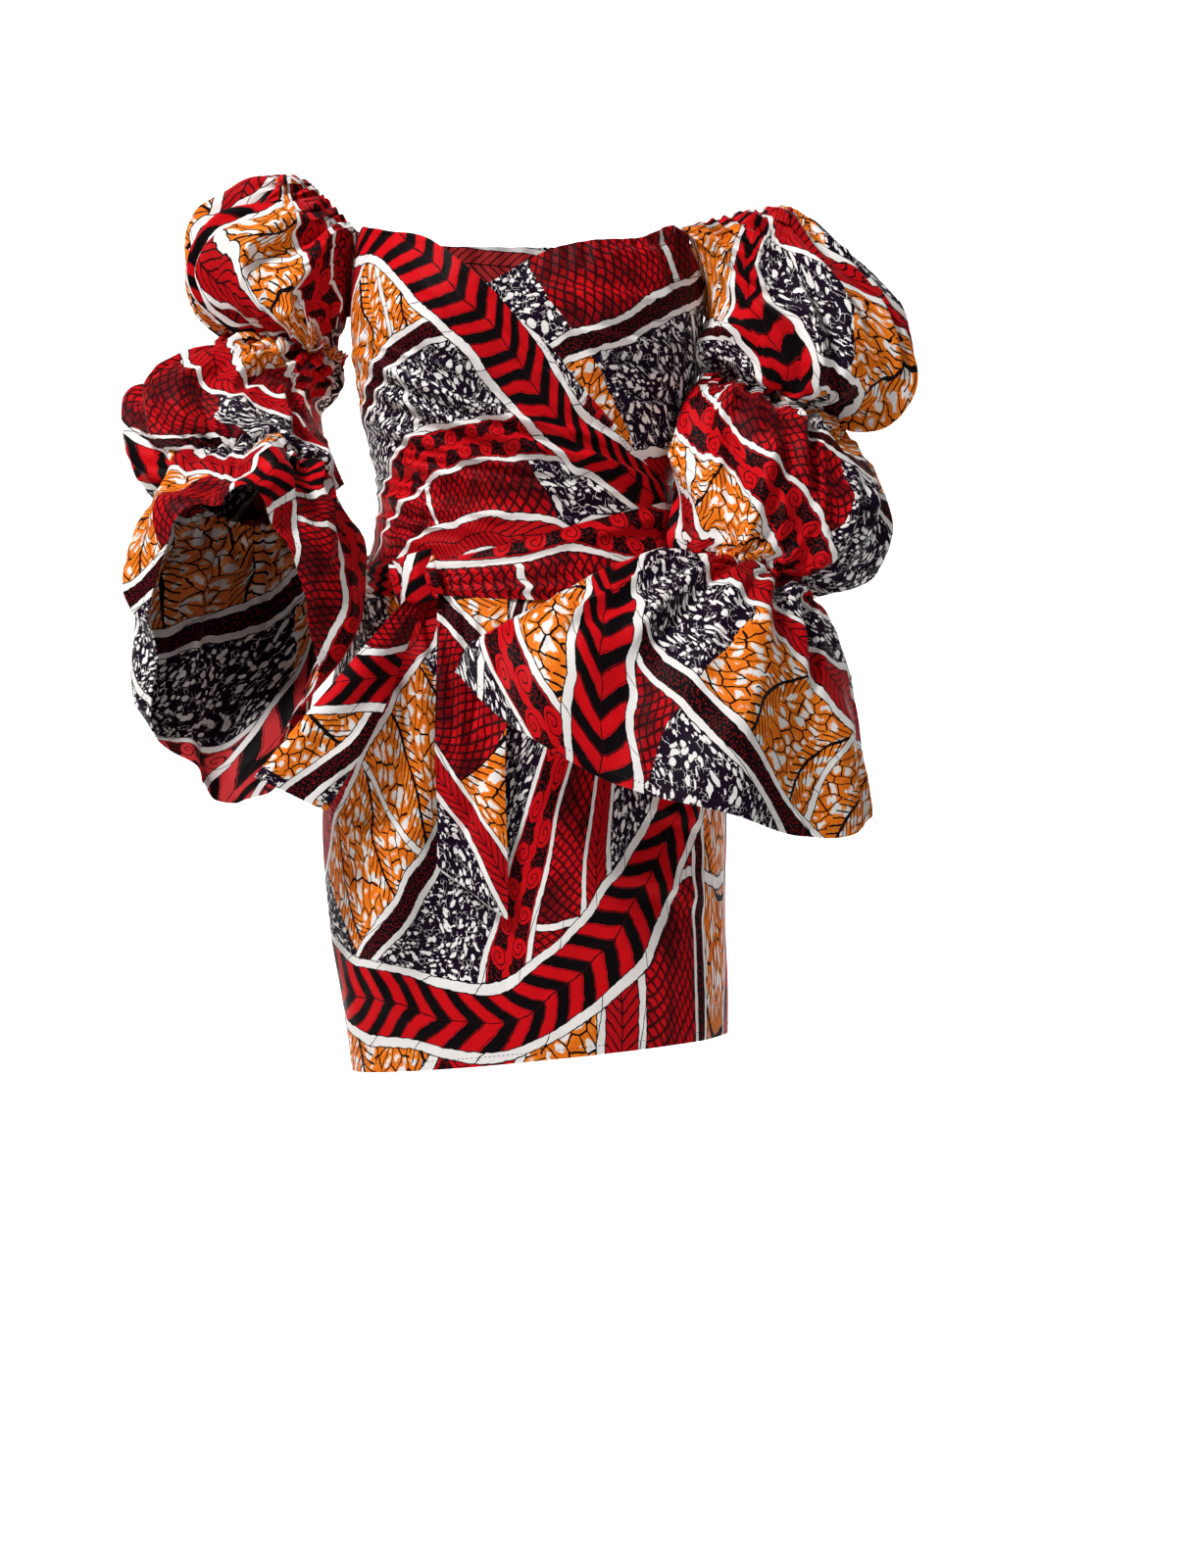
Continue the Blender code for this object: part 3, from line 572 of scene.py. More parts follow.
# %% [markdown]
# The sash goes once round over the waist seam. It is a wide strip squeezed into soft pleats that run
# along it, and they draw together towards the knot at the right hip.

# %% The sash band
SASH_GRID = (320, 36)
KNOT_TURN = -34
DRAWN_HEIGHT = 0.0010
DRAWN_WITHIN = 16
# Each pleat: its share of the width, its height and width, and how its place drifts round the waist:
# how far, in how many waves, and with what phase
SASH_PLEATS = [
    (0.16, 0.0030, 0.075, 0.05, 1.0, 0.3),
    (0.38, 0.0036, 0.085, 0.06, 2.0, 2.1),
    (0.60, 0.0030, 0.070, 0.07, 1.0, 4.0),
    (0.83, 0.0034, 0.080, 0.04, 2.0, 5.2),
]


def sash_out(turn, share):
    """Each pleat is a ridge at its own share of the width, which drifts up and down round the waist.
    Near the knot the sash is drawn into finer pleats too, seven half waves over its width."""
    height = np.zeros(turn.shape)
    angle = np.radians(turn)
    for at, size, width, drift, cycles, phase in SASH_PLEATS:
        middle = at + drift * np.sin(cycles * angle + phase)
        uneven = 0.75 + 0.25 * np.sin(3 * angle + 2.3 * phase)
        height = height + size * uneven * np.exp(-(((share - middle) / width) ** 2))
    drawn = DRAWN_HEIGHT * np.sin(np.pi * 7 * share) * np.exp(-(((turn - KNOT_TURN) / DRAWN_WITHIN) ** 2))
    return LAYER + height + drawn


def make_sash():
    """A closed ring of rows from the lower edge to the upper edge, out from the figure by its pleats."""
    around = np.linspace(-180.0, 180.0, SASH_GRID[0] + 1)[:-1]
    turn, share = np.meshgrid(around, np.linspace(0.0, 1.0, SASH_GRID[1]))
    top, bottom = sash_edge("top", turn), sash_edge("bottom", turn)
    z = bottom + (top - bottom) * share
    out = sash_out(turn, share)
    outer, inner = on_figure(z, turn, out), on_figure(z, turn, out - CLOTH)
    ring = np.concatenate([outer, outer[:, :1]], axis=1)
    round_waist = run_length(ring, 1)[:, -1].mean()
    flat = turn_map((run_share(ring, 1) - 0.5) * round_waist, ring[..., 2], -35, (0.22, 0.80))
    add_cloth("cloth_sash_band", outer, inner, flat, closed=True)


make_sash()

# %% [markdown]
# The knot is tied flat: one end of the sash comes forward, goes over the other and is pulled down
# behind. From the front it is a short wrap of cloth, creased lengthwise, with its sides tucked in.

# %% The knot
KNOT_Z = -0.226
PLEATS_LIFT = 0.0022
KNOT_STAND = 0.0105
KNOT_BEND_DEG = 104.0
KNOT_CREASES = [(-0.34, 0.16), (-0.10, 0.11), (0.13, 0.13), (0.36, 0.10)]
KNOT_CREASE_WIDTH = 0.07
# Each wrap: its lean, width, height and depth, how far it sinks in, its turn and shift on the print
KNOT_WRAPS = {
    "cloth_knot_over": (14, 0.030, 0.042, 0.0105, 0.0010, 20, (0.41, 0.40)),
    "cloth_knot_under": (-74, 0.028, 0.042, 0.0070, 0.0026, 70, (0.11, 0.24)),
}


def knot_frame():
    """The knot's middle on the sash, and its directions across and outward."""
    out = LAYER + PLEATS_LIFT
    side = on_figure(KNOT_Z, KNOT_TURN + 1, out) - on_figure(KNOT_Z, KNOT_TURN - 1, out)
    side /= np.linalg.norm(side)
    ahead = np.array([side[1], -side[0], 0.0])
    return on_figure(KNOT_Z, KNOT_TURN, out) + ahead * (KNOT_STAND + SEAM_GAP), side, ahead


def knot_wrap(name, lean_deg, width, height, depth, sink, flat_turn, shift):
    """An arc of cloth over the knot: cos and sin of its own angle give how far out and how high, its
    width narrows in the middle, and its sides sink towards the sash by the cube of the distance.
    Its creases run round the arc."""
    centre, side, ahead = knot_frame()
    bend = np.radians(np.linspace(-KNOT_BEND_DEG, KNOT_BEND_DEG, 52))
    across, bend = np.meshgrid(np.linspace(-0.5, 0.5, 44), bend)
    crease = sum(size * np.exp(-(((across - at) / KNOT_CREASE_WIDTH) ** 2)) for at, size in KNOT_CREASES)
    spread = 1.0 + 0.22 * np.sin(bend) ** 2 - 0.05 * np.cos(2 * bend)
    x = across * width * spread + 0.002 * np.sin(bend * 1.3)
    outward = depth * (0.30 + 0.70 * np.cos(bend)) * (1 - 1.3 * np.abs(across * 1.85) ** 3) - sink
    outward = outward - depth * 0.75 * crease * (0.6 + 0.4 * np.cos(bend))
    up = height / 2 * np.sin(bend)
    lean = math.radians(lean_deg)
    x, up = x * math.cos(lean) - up * math.sin(lean), x * math.sin(lean) + up * math.cos(lean)
    vertical = np.array([0.0, 0.0, 1.0])
    points = centre + x[..., None] * side + outward[..., None] * ahead + up[..., None] * vertical
    inner = points - normals(points, False) * CLOTH
    add_cloth(name, points, inner, flat_map(points, flat_turn, shift, down=True))


for name, wrap in KNOT_WRAPS.items():
    knot_wrap(name, *wrap)

# %% [markdown]
# The two tails are the ends of the sash. One stands away over the hip and turns as it falls. The
# other hangs down the skirt and is cut slanting at its end.

# %% The tails
TAIL_COLUMNS = ("x", "y", "z", "width", "swing")
SIDE_TAIL = [
    (-0.0935, -0.0945, -0.2462, 0.018, 40),
    (-0.101, -0.119, -0.262, 0.028, 44),
    (-0.115, -0.149, -0.290, 0.038, 34),
    (-0.132, -0.168, -0.322, 0.048, 24),
    (-0.152, -0.179, -0.354, 0.056, 16),
    (-0.186, -0.186, -0.403, 0.064, 12),
]
SIDE_TAIL_LEAN = 26
SIDE_TAIL_BOW = 0.10
SIDE_TAIL_PLEAT = 0.0022
SIDE_TAIL_RIPPLE = 0.0026
SIDE_TAIL_CURL = 0.003
FRONT_TAIL_X = (-0.074, -0.016)
FRONT_TAIL_END = (-0.462, -0.506)
FRONT_TAIL_SWAY = 0.0016
FRONT_TAIL_WAVE = 0.005
FRONT_TAIL_PLEAT = 0.0020
FRONT_TAIL_RIPPLE = 0.0009
DEGREES_PER_METRE = 390
# Folds by places across and down the tail, which is taken as 60 x 240 mm for them
FRONT_TAIL_SIZE = (0.060, 0.240)
FRONT_TAIL_FOLDS = [
    (0.010, 0.020, 0.018, 0.160, 0.0046, 0.0055),
    (0.042, 0.010, 0.034, 0.120, 0.0042, 0.0048),
    (0.052, 0.110, 0.022, 0.215, 0.0038, 0.0065),
    (0.006, 0.170, 0.044, 0.205, 0.0026, 0.0060),
]


def hanging(name, points, turned_deg, shift):
    """A tail from a grid that runs down: its rows are turned over, so that it faces outwards."""
    outer = points[::-1]
    inner = outer - normals(outer, False) * CLOTH
    add_cloth(name, outer, inner, flat_map(outer, turned_deg, shift, down=True))


def make_side_tail():
    """A strip carried along a curve: each row is a width turned by its swing, bowed forward. Pleats
    at the knot give way to a ripple, and its sides curl back, more as it falls."""
    table = columns(TAIL_COLUMNS, SIDE_TAIL)
    line = np.stack([table[name] for name in ("x", "y", "z")], axis=-1)
    at = np.linspace(0.0, 1.0, len(line))
    share = np.linspace(0.0, 1.0, 110)
    middle = smooth(share, at, line)
    width = smooth(share, at, table["width"])[:, None]
    swing, lean = np.radians(smooth(share, at, table["swing"])), np.radians(SIDE_TAIL_LEAN)
    side = np.stack([np.cos(swing) * np.cos(lean), np.sin(swing), -np.cos(swing) * np.sin(lean)], axis=-1)
    across, share = np.linspace(-0.5, 0.5, 44), share[:, None]
    points = middle[:, None] + side[:, None] * (width * across)[..., None]
    near = np.exp(-((share / 0.22) ** 2))
    pleats = SIDE_TAIL_PLEAT * np.sin(across * 26 + 0.8) * near
    pleats = pleats + SIDE_TAIL_RIPPLE * np.sin(across * 7 + 5 * share) * (1 - near)
    points[..., 1] -= SIDE_TAIL_BOW * width * (1 - (2 * across) ** 2) + pleats
    points[..., 1] += SIDE_TAIL_CURL * (ease((np.abs(across) - 0.36) / 0.14) * share)
    hanging("cloth_tail_side", points, 64, (0.52, 1.02))


def make_front_tail():
    """A strip that hangs on the front of the skirt: x by share of its width, z down to a slanting
    end. It comes out from under the sash over its first part, in pleats that die as it falls, and
    then stands off the skirt by a wave, its folds and a fine ripple."""
    across, down = np.meshgrid(np.linspace(0.0, 1.0, 54), np.linspace(0.0, 1.0, 120))
    left, right = FRONT_TAIL_X
    x = left + (right - left) * across + FRONT_TAIL_SWAY * np.sin(9 * down) * down
    end = FRONT_TAIL_END[0] + (FRONT_TAIL_END[1] - FRONT_TAIL_END[0]) * across
    top = sash_edge("bottom", x * DEGREES_PER_METRE) - 2 * SEAM_GAP
    z = top + (end - top) * down
    wave = 0.5 + 0.5 * np.sin(2.2 * np.pi * across + 2.5 * down)
    out = LAYER + 0.0015 * ease(down * 6) + 0.0040 * ease(down * 2) + FRONT_TAIL_WAVE * wave * ease(down * 3)
    out = out + folds(across * FRONT_TAIL_SIZE[0], down * FRONT_TAIL_SIZE[1], FRONT_TAIL_FOLDS)
    near = np.exp(-((down / 0.20) ** 2))
    out = out + FRONT_TAIL_PLEAT * (1 + np.sin(across * 24 + 1.1)) * near * ease(down * 12)
    out = out + FRONT_TAIL_RIPPLE * np.sin(across * 11 + 7 * down) * ease(down * 3)
    hanging("cloth_tail_front", np.stack([x, front_y(x, z, out), z], axis=-1), 6, (0.30, 0.58))


make_side_tail()
make_front_tail()


# %% [markdown]
# Each sleeve is three tiers of cloth. Two are gathered on an elastic at both ends, so they puff, and
# the last flares into a wide bell. A tier starts as a tube through rings that are listed in a table.

# %% Rings of the sleeves
# A ring: its middle's x, y and z, half its width, its depth in front and behind, and its roll, pitch
# and yaw in degrees
LEFT_UPPER_PUFF = [
    (0.208, 0.000, 0.029, 0.063, 0.058, 0.058, -38, 0, 0),
    (0.232, -0.002, 0.001, 0.073, 0.068, 0.068, -17, 0, 0),
    (0.245, -0.004, -0.026, 0.079, 0.071, 0.071, -4, 0, 0),
    (0.249, -0.004, -0.049, 0.078, 0.067, 0.067, 4, 0, 0),
    (0.238, -0.003, -0.064, 0.065, 0.058, 0.058, 10, 0, 5),
]
LEFT_UPPER_ELASTIC = (0.209, 0.000, -0.068, 0.044, 0.042, 0.042, 16, 0, 10)
LEFT_LOWER_PUFF = [
    (0.208, -0.006, -0.090, 0.056, 0.055, 0.055, 13, 0, 20),
    (0.212, -0.020, -0.116, 0.076, 0.066, 0.066, 9, 0, 20),
    (0.216, -0.034, -0.150, 0.087, 0.071, 0.071, 6, 0, 22),
    (0.214, -0.044, -0.184, 0.087, 0.070, 0.070, 7, 0, 22),
    (0.204, -0.052, -0.207, 0.074, 0.060, 0.060, 11, 0, 22),
]
LEFT_LOWER_ELASTIC = (0.182, -0.062, -0.220, 0.045, 0.043, 0.043, 14, -3, 20)
LEFT_BELL = [
    (0.160, -0.080, -0.234, 0.074, 0.056, 0.046, 11, -6, 18),
    (0.150, -0.100, -0.250, 0.096, 0.062, 0.044, 9, -2, 18),
    (0.142, -0.122, -0.272, 0.122, 0.066, 0.042, 8, 6, 16),
    (0.128, -0.140, -0.302, 0.148, 0.070, 0.038, 11, 14, 14),
    (0.120, -0.154, -0.336, 0.164, 0.076, 0.036, 15, 24, 12),
    (0.117, -0.166, -0.366, 0.172, 0.084, 0.036, 18, 34, 10),
]
RIGHT_UPPER_PUFF = [
    (-0.206, 0.006, 0.052, 0.070, 0.057, 0.057, 52, 0, 0),
    (-0.225, 0.010, 0.040, 0.076, 0.066, 0.066, 40, 0, 0),
    (-0.231, 0.013, 0.022, 0.076, 0.069, 0.069, 31, 0, 0),
    (-0.230, 0.016, 0.005, 0.068, 0.065, 0.065, 24, 0, 0),
    (-0.222, 0.018, -0.009, 0.057, 0.055, 0.055, 18, -2, 0),
]
RIGHT_UPPER_ELASTIC = (-0.206, 0.019, -0.022, 0.043, 0.042, 0.042, 16, -5, 0)
RIGHT_LOWER_PUFF = [
    (-0.226, 0.012, -0.044, 0.053, 0.052, 0.052, 13, -10, 0),
    (-0.249, -0.001, -0.062, 0.067, 0.061, 0.061, 8, -15, 0),
    (-0.260, -0.019, -0.084, 0.080, 0.067, 0.067, 5, -20, 0),
    (-0.256, -0.038, -0.110, 0.085, 0.068, 0.068, 2, -28, 0),
    (-0.244, -0.055, -0.133, 0.076, 0.061, 0.061, 0, -34, 0),
]
RIGHT_LOWER_ELASTIC = (-0.228, -0.074, -0.147, 0.053, 0.046, 0.046, 0, -38, 0)
RIGHT_BELL = [
    (-0.228, -0.089, -0.166, 0.066, 0.058, 0.060, 0, -43, 0),
    (-0.229, -0.106, -0.193, 0.080, 0.074, 0.080, 0, -50, 0),
    (-0.230, -0.127, -0.226, 0.088, 0.090, 0.100, 0, -60, 0),
    (-0.236, -0.149, -0.256, 0.086, 0.108, 0.118, 0, -70, 0),
    (-0.236, -0.170, -0.281, 0.064, 0.122, 0.132, 0, -78, 0),
]
ELASTIC_TOP = {"left": (0.220, 0.002, 0.097), "right": (-0.193, 0.015, 0.124)}
ARMHOLE_FRONT_TURN = {"left": 59, "right": -72}
ARMHOLE_BACK_TURN = {"left": 119, "right": -114}
SEWN_FROM = np.radians(105.0)
SLEEVE_CLEAR = {"upper_puff": 0.0018, "lower_puff": 0.008, "bell": 0.013}
NEAR_FIGURE = 1.4
SOFTNESS = 0.0004
FRILL = 0.0019
FRILL_EASE = 0.45
MOUTH_FRILLS = 43


def ring_points(row, around):
    """An ellipse whose width and forward directions are turned by roll, pitch and yaw."""
    x, y, z, half_width, front, back, roll, pitch, yaw = row
    roll, pitch, yaw = np.radians([roll, pitch, yaw])
    width = np.array([np.cos(yaw) * np.cos(roll), np.sin(yaw) * np.cos(roll), -np.sin(roll)]) * half_width
    ahead = np.array([np.sin(yaw), -np.cos(yaw), 0.0]) * np.cos(pitch) + np.array([0.0, 0.0, -np.sin(pitch)])
    depth = np.where(np.sin(around) > 0, front, back) * np.sin(around)
    return np.array([x, y, z]) + np.cos(around)[:, None] * width + depth[:, None] * ahead


def armhole(side, share):
    """The armhole edge, from its back corner round under the arm to its front corner."""
    back, front = ARMHOLE_BACK_TURN[side], ARMHOLE_FRONT_TURN[side]
    under = 90 if side == "left" else -90
    turn = smooth(share, [0.0, 0.5, 1.0], [back, under, front])
    front_edge = under_edge if side == "left" else over_edge
    behind = np.abs(turn) > 90
    z = np.where(behind, back_edge(np.mod(turn, 360.0)), front_edge(turn))
    return on_figure(z, turn, SEAM_GAP)


def mouth_points(side, around):
    """The sleeve's top edge: sewn to the armhole inside, and on its own elastic over the arm, where
    it stands in frills, a sine up and a cosine outward."""
    inward = np.mod(around if side == "left" else np.pi - around, 2 * np.pi)
    from_top = np.minimum(inward, 2 * np.pi - inward)
    sewn_to = 2 * np.pi - SEWN_FROM
    sewn = (inward > SEWN_FROM) & (inward < sewn_to)
    points = np.empty((len(around), 3))
    points[sewn] = armhole(side, (sewn_to - inward[sewn]) / (sewn_to - SEWN_FROM))
    back, front = armhole(side, np.array([0.0, 1.0]))
    top = np.array(ELASTIC_TOP[side])
    for corner, part in ((front, ~sewn & (inward <= np.pi)), (back, ~sewn & (inward > np.pi))):
        rise = ((1.0 - from_top[part] / SEWN_FROM) * np.pi / 2)[:, None]
        across = (top - corner) * np.array([1.0, 0.0, 1.0])
        along = (top - corner) * np.array([0.0, 1.0, 0.0])
        points[part] = corner + across * np.sin(rise) + along * (1 - np.cos(rise))
    free = ease((SEWN_FROM - from_top) / FRILL_EASE)
    crest = MOUTH_FRILLS * around + 0.9 * np.sin(5 * around)
    points[:, 2] += FRILL * np.sin(crest) * free
    points[:, 1] += FRILL * np.cos(crest + 0.6) * free
    return points, sewn


def tube(rings, steps):
    """Points at these shares of the way along a list of rings."""
    rings = np.array(rings)
    step = np.linalg.norm(np.diff(rings, axis=0), axis=-1).mean(axis=-1)
    at = np.concatenate([[0.0], np.cumsum(step)]) / step.sum()
    return smooth(steps, at, rings), step.sum()


def clear_of_figure(points, out):
    """Moves points that would lie in the figure, or near it, out to this distance from it. A point's
    size is 1 on the figure's surface, and a soft maximum of it and 1 takes its place."""
    x, y, z = points[..., 0], points[..., 1], points[..., 2]
    front, back = figure_size("front", z), figure_size("back", z)
    centre = figure_size("centre_x", z)
    across = (x - centre) / (figure_size("half_width", z) + out)
    ahead = y / (np.where(y < 0, front, back) + out + cup(x, z) * (y < 0))
    size = (np.abs(across) ** ROUNDNESS + np.abs(ahead) ** ROUNDNESS) ** (1 / ROUNDNESS)
    wanted = (size + 1 + np.sqrt((size - 1) ** 2 + SOFTNESS)) / 2
    stretch = np.where(size < NEAR_FIGURE, wanted / size, 1.0)
    return np.stack([centre + (x - centre) * stretch, y * stretch, z], axis=-1)


# %% [markdown]
# Beside an elastic the cloth stands in gathers. No two are alike: each has its own place round the
# elastic, its own height and its own length, and it widens as it runs out into the puff. They are
# seeded, so they come out the same each time. The long folds between are listed in a table.

# %% Gathers
RUFFLE = 0.0028
SHIRR = 0.0028
SHIRR_REACH = 0.034
GATHER = 0.0104
GATHER_RISE = 0.014
GATHER_SPREAD = 0.07
PUFF_GATHER = 0.075
BELL_GATHER = 0.10
# Each elastic's seed and its number of gathers
ELASTICS = {
    "left_mouth": (11, 30),
    "left_upper": (12, 24),
    "left_lower": (13, 25),
    "right_mouth": (21, 30),
    "right_upper": (22, 23),
    "right_lower": (23, 27),
}
CRUMPLE_WAVES = (2, 3, 3, 4, 5, 6)
CRUMPLE_SLANT = 45
CRUMPLE_DRIFT = 30


def gathers(around, reach, elastic, longest):
    """The sum of bells exp(-(d/w)^1.6) in the angle d from each gather, where w grows with the
    distance reach from the elastic. A bell rises over 14 mm and dies at its own length. A share of
    the tallest is taken off, so that the tier keeps its size. Within 34 mm of the elastic there is
    fine shirring too, |sin| with two crests to a gather."""
    seed, count = ELASTICS[elastic]
    rng = np.random.default_rng(seed)
    pitch = 2 * np.pi / count
    at = (np.arange(count) + rng.uniform(-0.34, 0.34, count)) * pitch
    tall = rng.uniform(0.45, 1.0, count)
    long = rng.uniform(0.30, 1.0, count) ** 1.3 * longest
    d = (around[None, :, None] - at + np.pi) % (2 * np.pi) - np.pi
    reach = np.asarray(reach)[:, None, None]
    width = pitch * (0.30 + 0.42 * ease(reach / GATHER_SPREAD))
    rise = RUFFLE + tall * GATHER * ease(reach / GATHER_RISE)
    bells = np.exp(-(np.abs(d / width) ** 1.6)) * rise * ease((long * 1.25 - reach) / (0.7 * long))
    fine = np.abs(np.sin(count * around + 0.9 * np.sin(3 * around + count)))[None, :] - 0.6
    fine = SHIRR * fine * ease((SHIRR_REACH - reach[..., 0]) / 0.026)
    return bells.sum(axis=-1) - 0.42 * (bells.max(axis=-1).mean(axis=1, keepdims=True)) + fine


def crumple(around, along, seed, size):
    """Crisp dents: ridges 1 - |sin| of slanting waves that close round the sleeve, each of which
    swells and fades over a slow wave of its own."""
    rng = np.random.default_rng(seed)
    angle, reach = around[None, :], along[:, None]
    low = (-CRUMPLE_SLANT, 0, -CRUMPLE_DRIFT, 0)
    high = (CRUMPLE_SLANT, 2 * np.pi, CRUMPLE_DRIFT, 2 * np.pi)
    total = 0.0
    for count in CRUMPLE_WAVES:
        slant, phase, slow, late = rng.uniform(low, high)
        bend = 0.6 * np.sin(2 * angle + slow * reach + late)
        ridge = 1 - np.abs(np.sin(count * angle + slant * reach + phase + bend))
        total = total + ridge**1.5 * (0.5 + 0.5 * np.sin((count - 1) * angle + slow * reach + phase))
    return size * (total - total.mean())


# %% Long folds of the sleeves
FOLD_RADIUS = 0.075
# Slow waves: how many go round, how high, and their phase
PUFF_WAVES = [(3, 0.0035, 0.6), (5, 0.0040, 2.1), (7, 0.0022, 4.0)]
LEFT_FLUTES = [(4, 0.008, 0.9), (7, 0.006, 2.6)]
RIGHT_FLUTES = [(5, 0.006, 0.4), (8, 0.006, 1.9)]
# A fold: the degrees round the sleeve and the share of its length where it starts, the same where it
# ends, its height and its width
LONG_FOLDS = {
    "left_upper_puff": [
        (20, 0.22, 38, 0.75, 0.0081, 0.0075), (52, 0.15, 60, 0.62, 0.0068, 0.0066),
        (78, 0.30, 92, 0.86, 0.0087, 0.0079), (112, 0.12, 104, 0.60, 0.0062, 0.0070),
        (338, 0.25, 352, 0.82, 0.0074, 0.0079), (300, 0.35, 310, 0.85, 0.0078, 0.0075),
        (268, 0.15, 258, 0.70, 0.0071, 0.0079), (228, 0.30, 236, 0.80, 0.0062, 0.0070),
    ],
    "left_lower_puff": [
        (28, 0.12, 50, 0.66, 0.0090, 0.0084), (62, 0.40, 70, 0.92, 0.0074, 0.0075),
        (88, 0.10, 98, 0.58, 0.0084, 0.0070), (112, 0.34, 128, 0.90, 0.0087, 0.0084),
        (138, 0.14, 150, 0.64, 0.0068, 0.0070), (5, 0.38, 350, 0.88, 0.0081, 0.0079),
        (325, 0.12, 318, 0.62, 0.0074, 0.0079), (282, 0.30, 290, 0.86, 0.0084, 0.0084),
        (246, 0.12, 240, 0.60, 0.0071, 0.0070), (205, 0.32, 198, 0.84, 0.0074, 0.0079),
    ],
    "left_bell": [
        (40, 0.06, 52, 0.62, 0.0078, 0.0079), (66, 0.05, 74, 0.50, 0.0065, 0.0070),
        (84, 0.08, 92, 0.78, 0.0071, 0.0088), (108, 0.05, 122, 0.56, 0.0078, 0.0075),
        (140, 0.08, 150, 0.70, 0.0081, 0.0079), (12, 0.10, 8, 0.66, 0.0078, 0.0084),
        (340, 0.06, 332, 0.60, 0.0071, 0.0079), (300, 0.08, 306, 0.70, 0.0078, 0.0084),
        (262, 0.06, 256, 0.55, 0.0071, 0.0079), (215, 0.08, 222, 0.66, 0.0078, 0.0079),
    ],
    "right_upper_puff": [
        (70, 0.20, 58, 0.74, 0.0084, 0.0075), (104, 0.14, 96, 0.62, 0.0071, 0.0070),
        (128, 0.30, 142, 0.84, 0.0084, 0.0079), (160, 0.18, 168, 0.70, 0.0074, 0.0075),
        (196, 0.26, 206, 0.80, 0.0078, 0.0079), (232, 0.18, 224, 0.68, 0.0071, 0.0075),
        (262, 0.30, 270, 0.82, 0.0078, 0.0079), (300, 0.20, 292, 0.70, 0.0062, 0.0070),
    ],
    "right_lower_puff": [
        (42, 0.30, 50, 0.86, 0.0078, 0.0075), (70, 0.12, 78, 0.60, 0.0084, 0.0075),
        (98, 0.36, 108, 0.90, 0.0090, 0.0084), (124, 0.12, 132, 0.64, 0.0078, 0.0070),
        (152, 0.30, 164, 0.86, 0.0087, 0.0079), (182, 0.12, 188, 0.58, 0.0074, 0.0075),
        (212, 0.34, 222, 0.88, 0.0081, 0.0084), (250, 0.14, 242, 0.62, 0.0074, 0.0075),
        (286, 0.32, 294, 0.86, 0.0081, 0.0079), (330, 0.14, 338, 0.60, 0.0068, 0.0075),
    ],
    "right_bell": [
        (36, 0.06, 30, 0.58, 0.0065, 0.0075), (64, 0.05, 60, 0.70, 0.0074, 0.0079),
        (92, 0.06, 96, 0.56, 0.0071, 0.0075), (120, 0.05, 128, 0.74, 0.0078, 0.0084),
        (148, 0.06, 158, 0.60, 0.0074, 0.0075), (178, 0.05, 186, 0.78, 0.0081, 0.0084),
        (208, 0.06, 214, 0.58, 0.0071, 0.0075), (240, 0.05, 236, 0.70, 0.0078, 0.0084),
        (276, 0.06, 270, 0.58, 0.0068, 0.0075), (318, 0.05, 324, 0.66, 0.0071, 0.0079),
    ],
}


def long_folds(name, around, steps, length):
    """This piece's table of folds on the grid, with places round it taken as an arc. A fold goes the
    short way round."""
    whole = 2 * np.pi * FOLD_RADIUS
    rows = []
    for a0, b0, a1, b1, size, width in LONG_FOLDS[name]:
        start, end = math.radians(a0) * FOLD_RADIUS, math.radians(a1) * FOLD_RADIUS
        end = end + whole * round((start - end) / whole)
        rows.append((start, b0 * length, end, b1 * length, size, width))
    return folds(around[None, :] * FOLD_RADIUS, steps[:, None] * length, rows, wrap=whole)


# %% Make the sleeves
SLEEVE_COLUMNS = 272
SLEEVE_ROWS = {"upper_puff": 78, "lower_puff": 80, "bell": 84}
SEAM_AT = {"left": math.radians(212), "right": math.radians(-32)}
ROW_ENDS = 0.35
END_EASE = 0.02
SEWN_EASE = 0.45
BELL_TOP = 0.50
# The height of a tier's dents, and its part of their seed
CRUMPLE = {"upper_puff": (0.0050, 10), "lower_puff": (0.0050, 10), "bell": (0.0034, 4)}
SIDE_SEED = {"left": 28, "right": 35}
# A swell towards the body: its place in degrees and as a share of the length, and its size
BULGES = {"left_upper_puff": (178, 0.42, 0.050), "left_lower_puff": (176, 0.17, 0.031)}
BULGE_ROUND = 0.75
BULGE_LONG = 0.30
# Where each tier lies on the print, and how wide it was cut
TIER_PRINT = {
    "left_upper_puff": ((0.30, 0.16), 0.56),
    "left_lower_puff": ((0.12, 0.42), 0.60),
    "left_bell": ((0.62, 0.30), 0.86),
    "right_upper_puff": ((0.856, 0.60), 0.54),
    "right_lower_puff": ((0.36, 0.98), 0.58),
    "right_bell": ((0.98, 0.12), 0.80),
}


def rows_of(count):
    """Shares from 0 to 1, closer together at both ends, where the gathers are."""
    even = np.linspace(0.0, 1.0, count)
    return even - ROW_ENDS * np.sin(2 * np.pi * even) / (2 * np.pi)


def elastic_points(row, around, elastic):
    """The ring at an elastic, pushed out and in by the ends of its gathers."""
    points = ring_points(row, around)
    away = points - np.array(row[:3])
    away /= np.linalg.norm(away, axis=-1, keepdims=True)
    return points + away * gathers(around, [0.0], elastic, PUFF_GATHER)[0][:, None]


def slow_waves(around, steps, rows, closed_ends):
    """The large slow waves that the solid has too: cosines round the sleeve, zero at the elastics."""
    body = np.sin(np.pi * steps) ** 1.5 if closed_ends else ease(steps / 0.5)
    return sum(size * body[:, None] * np.cos(count * around + phase)[None, :] for count, size, phase in rows)


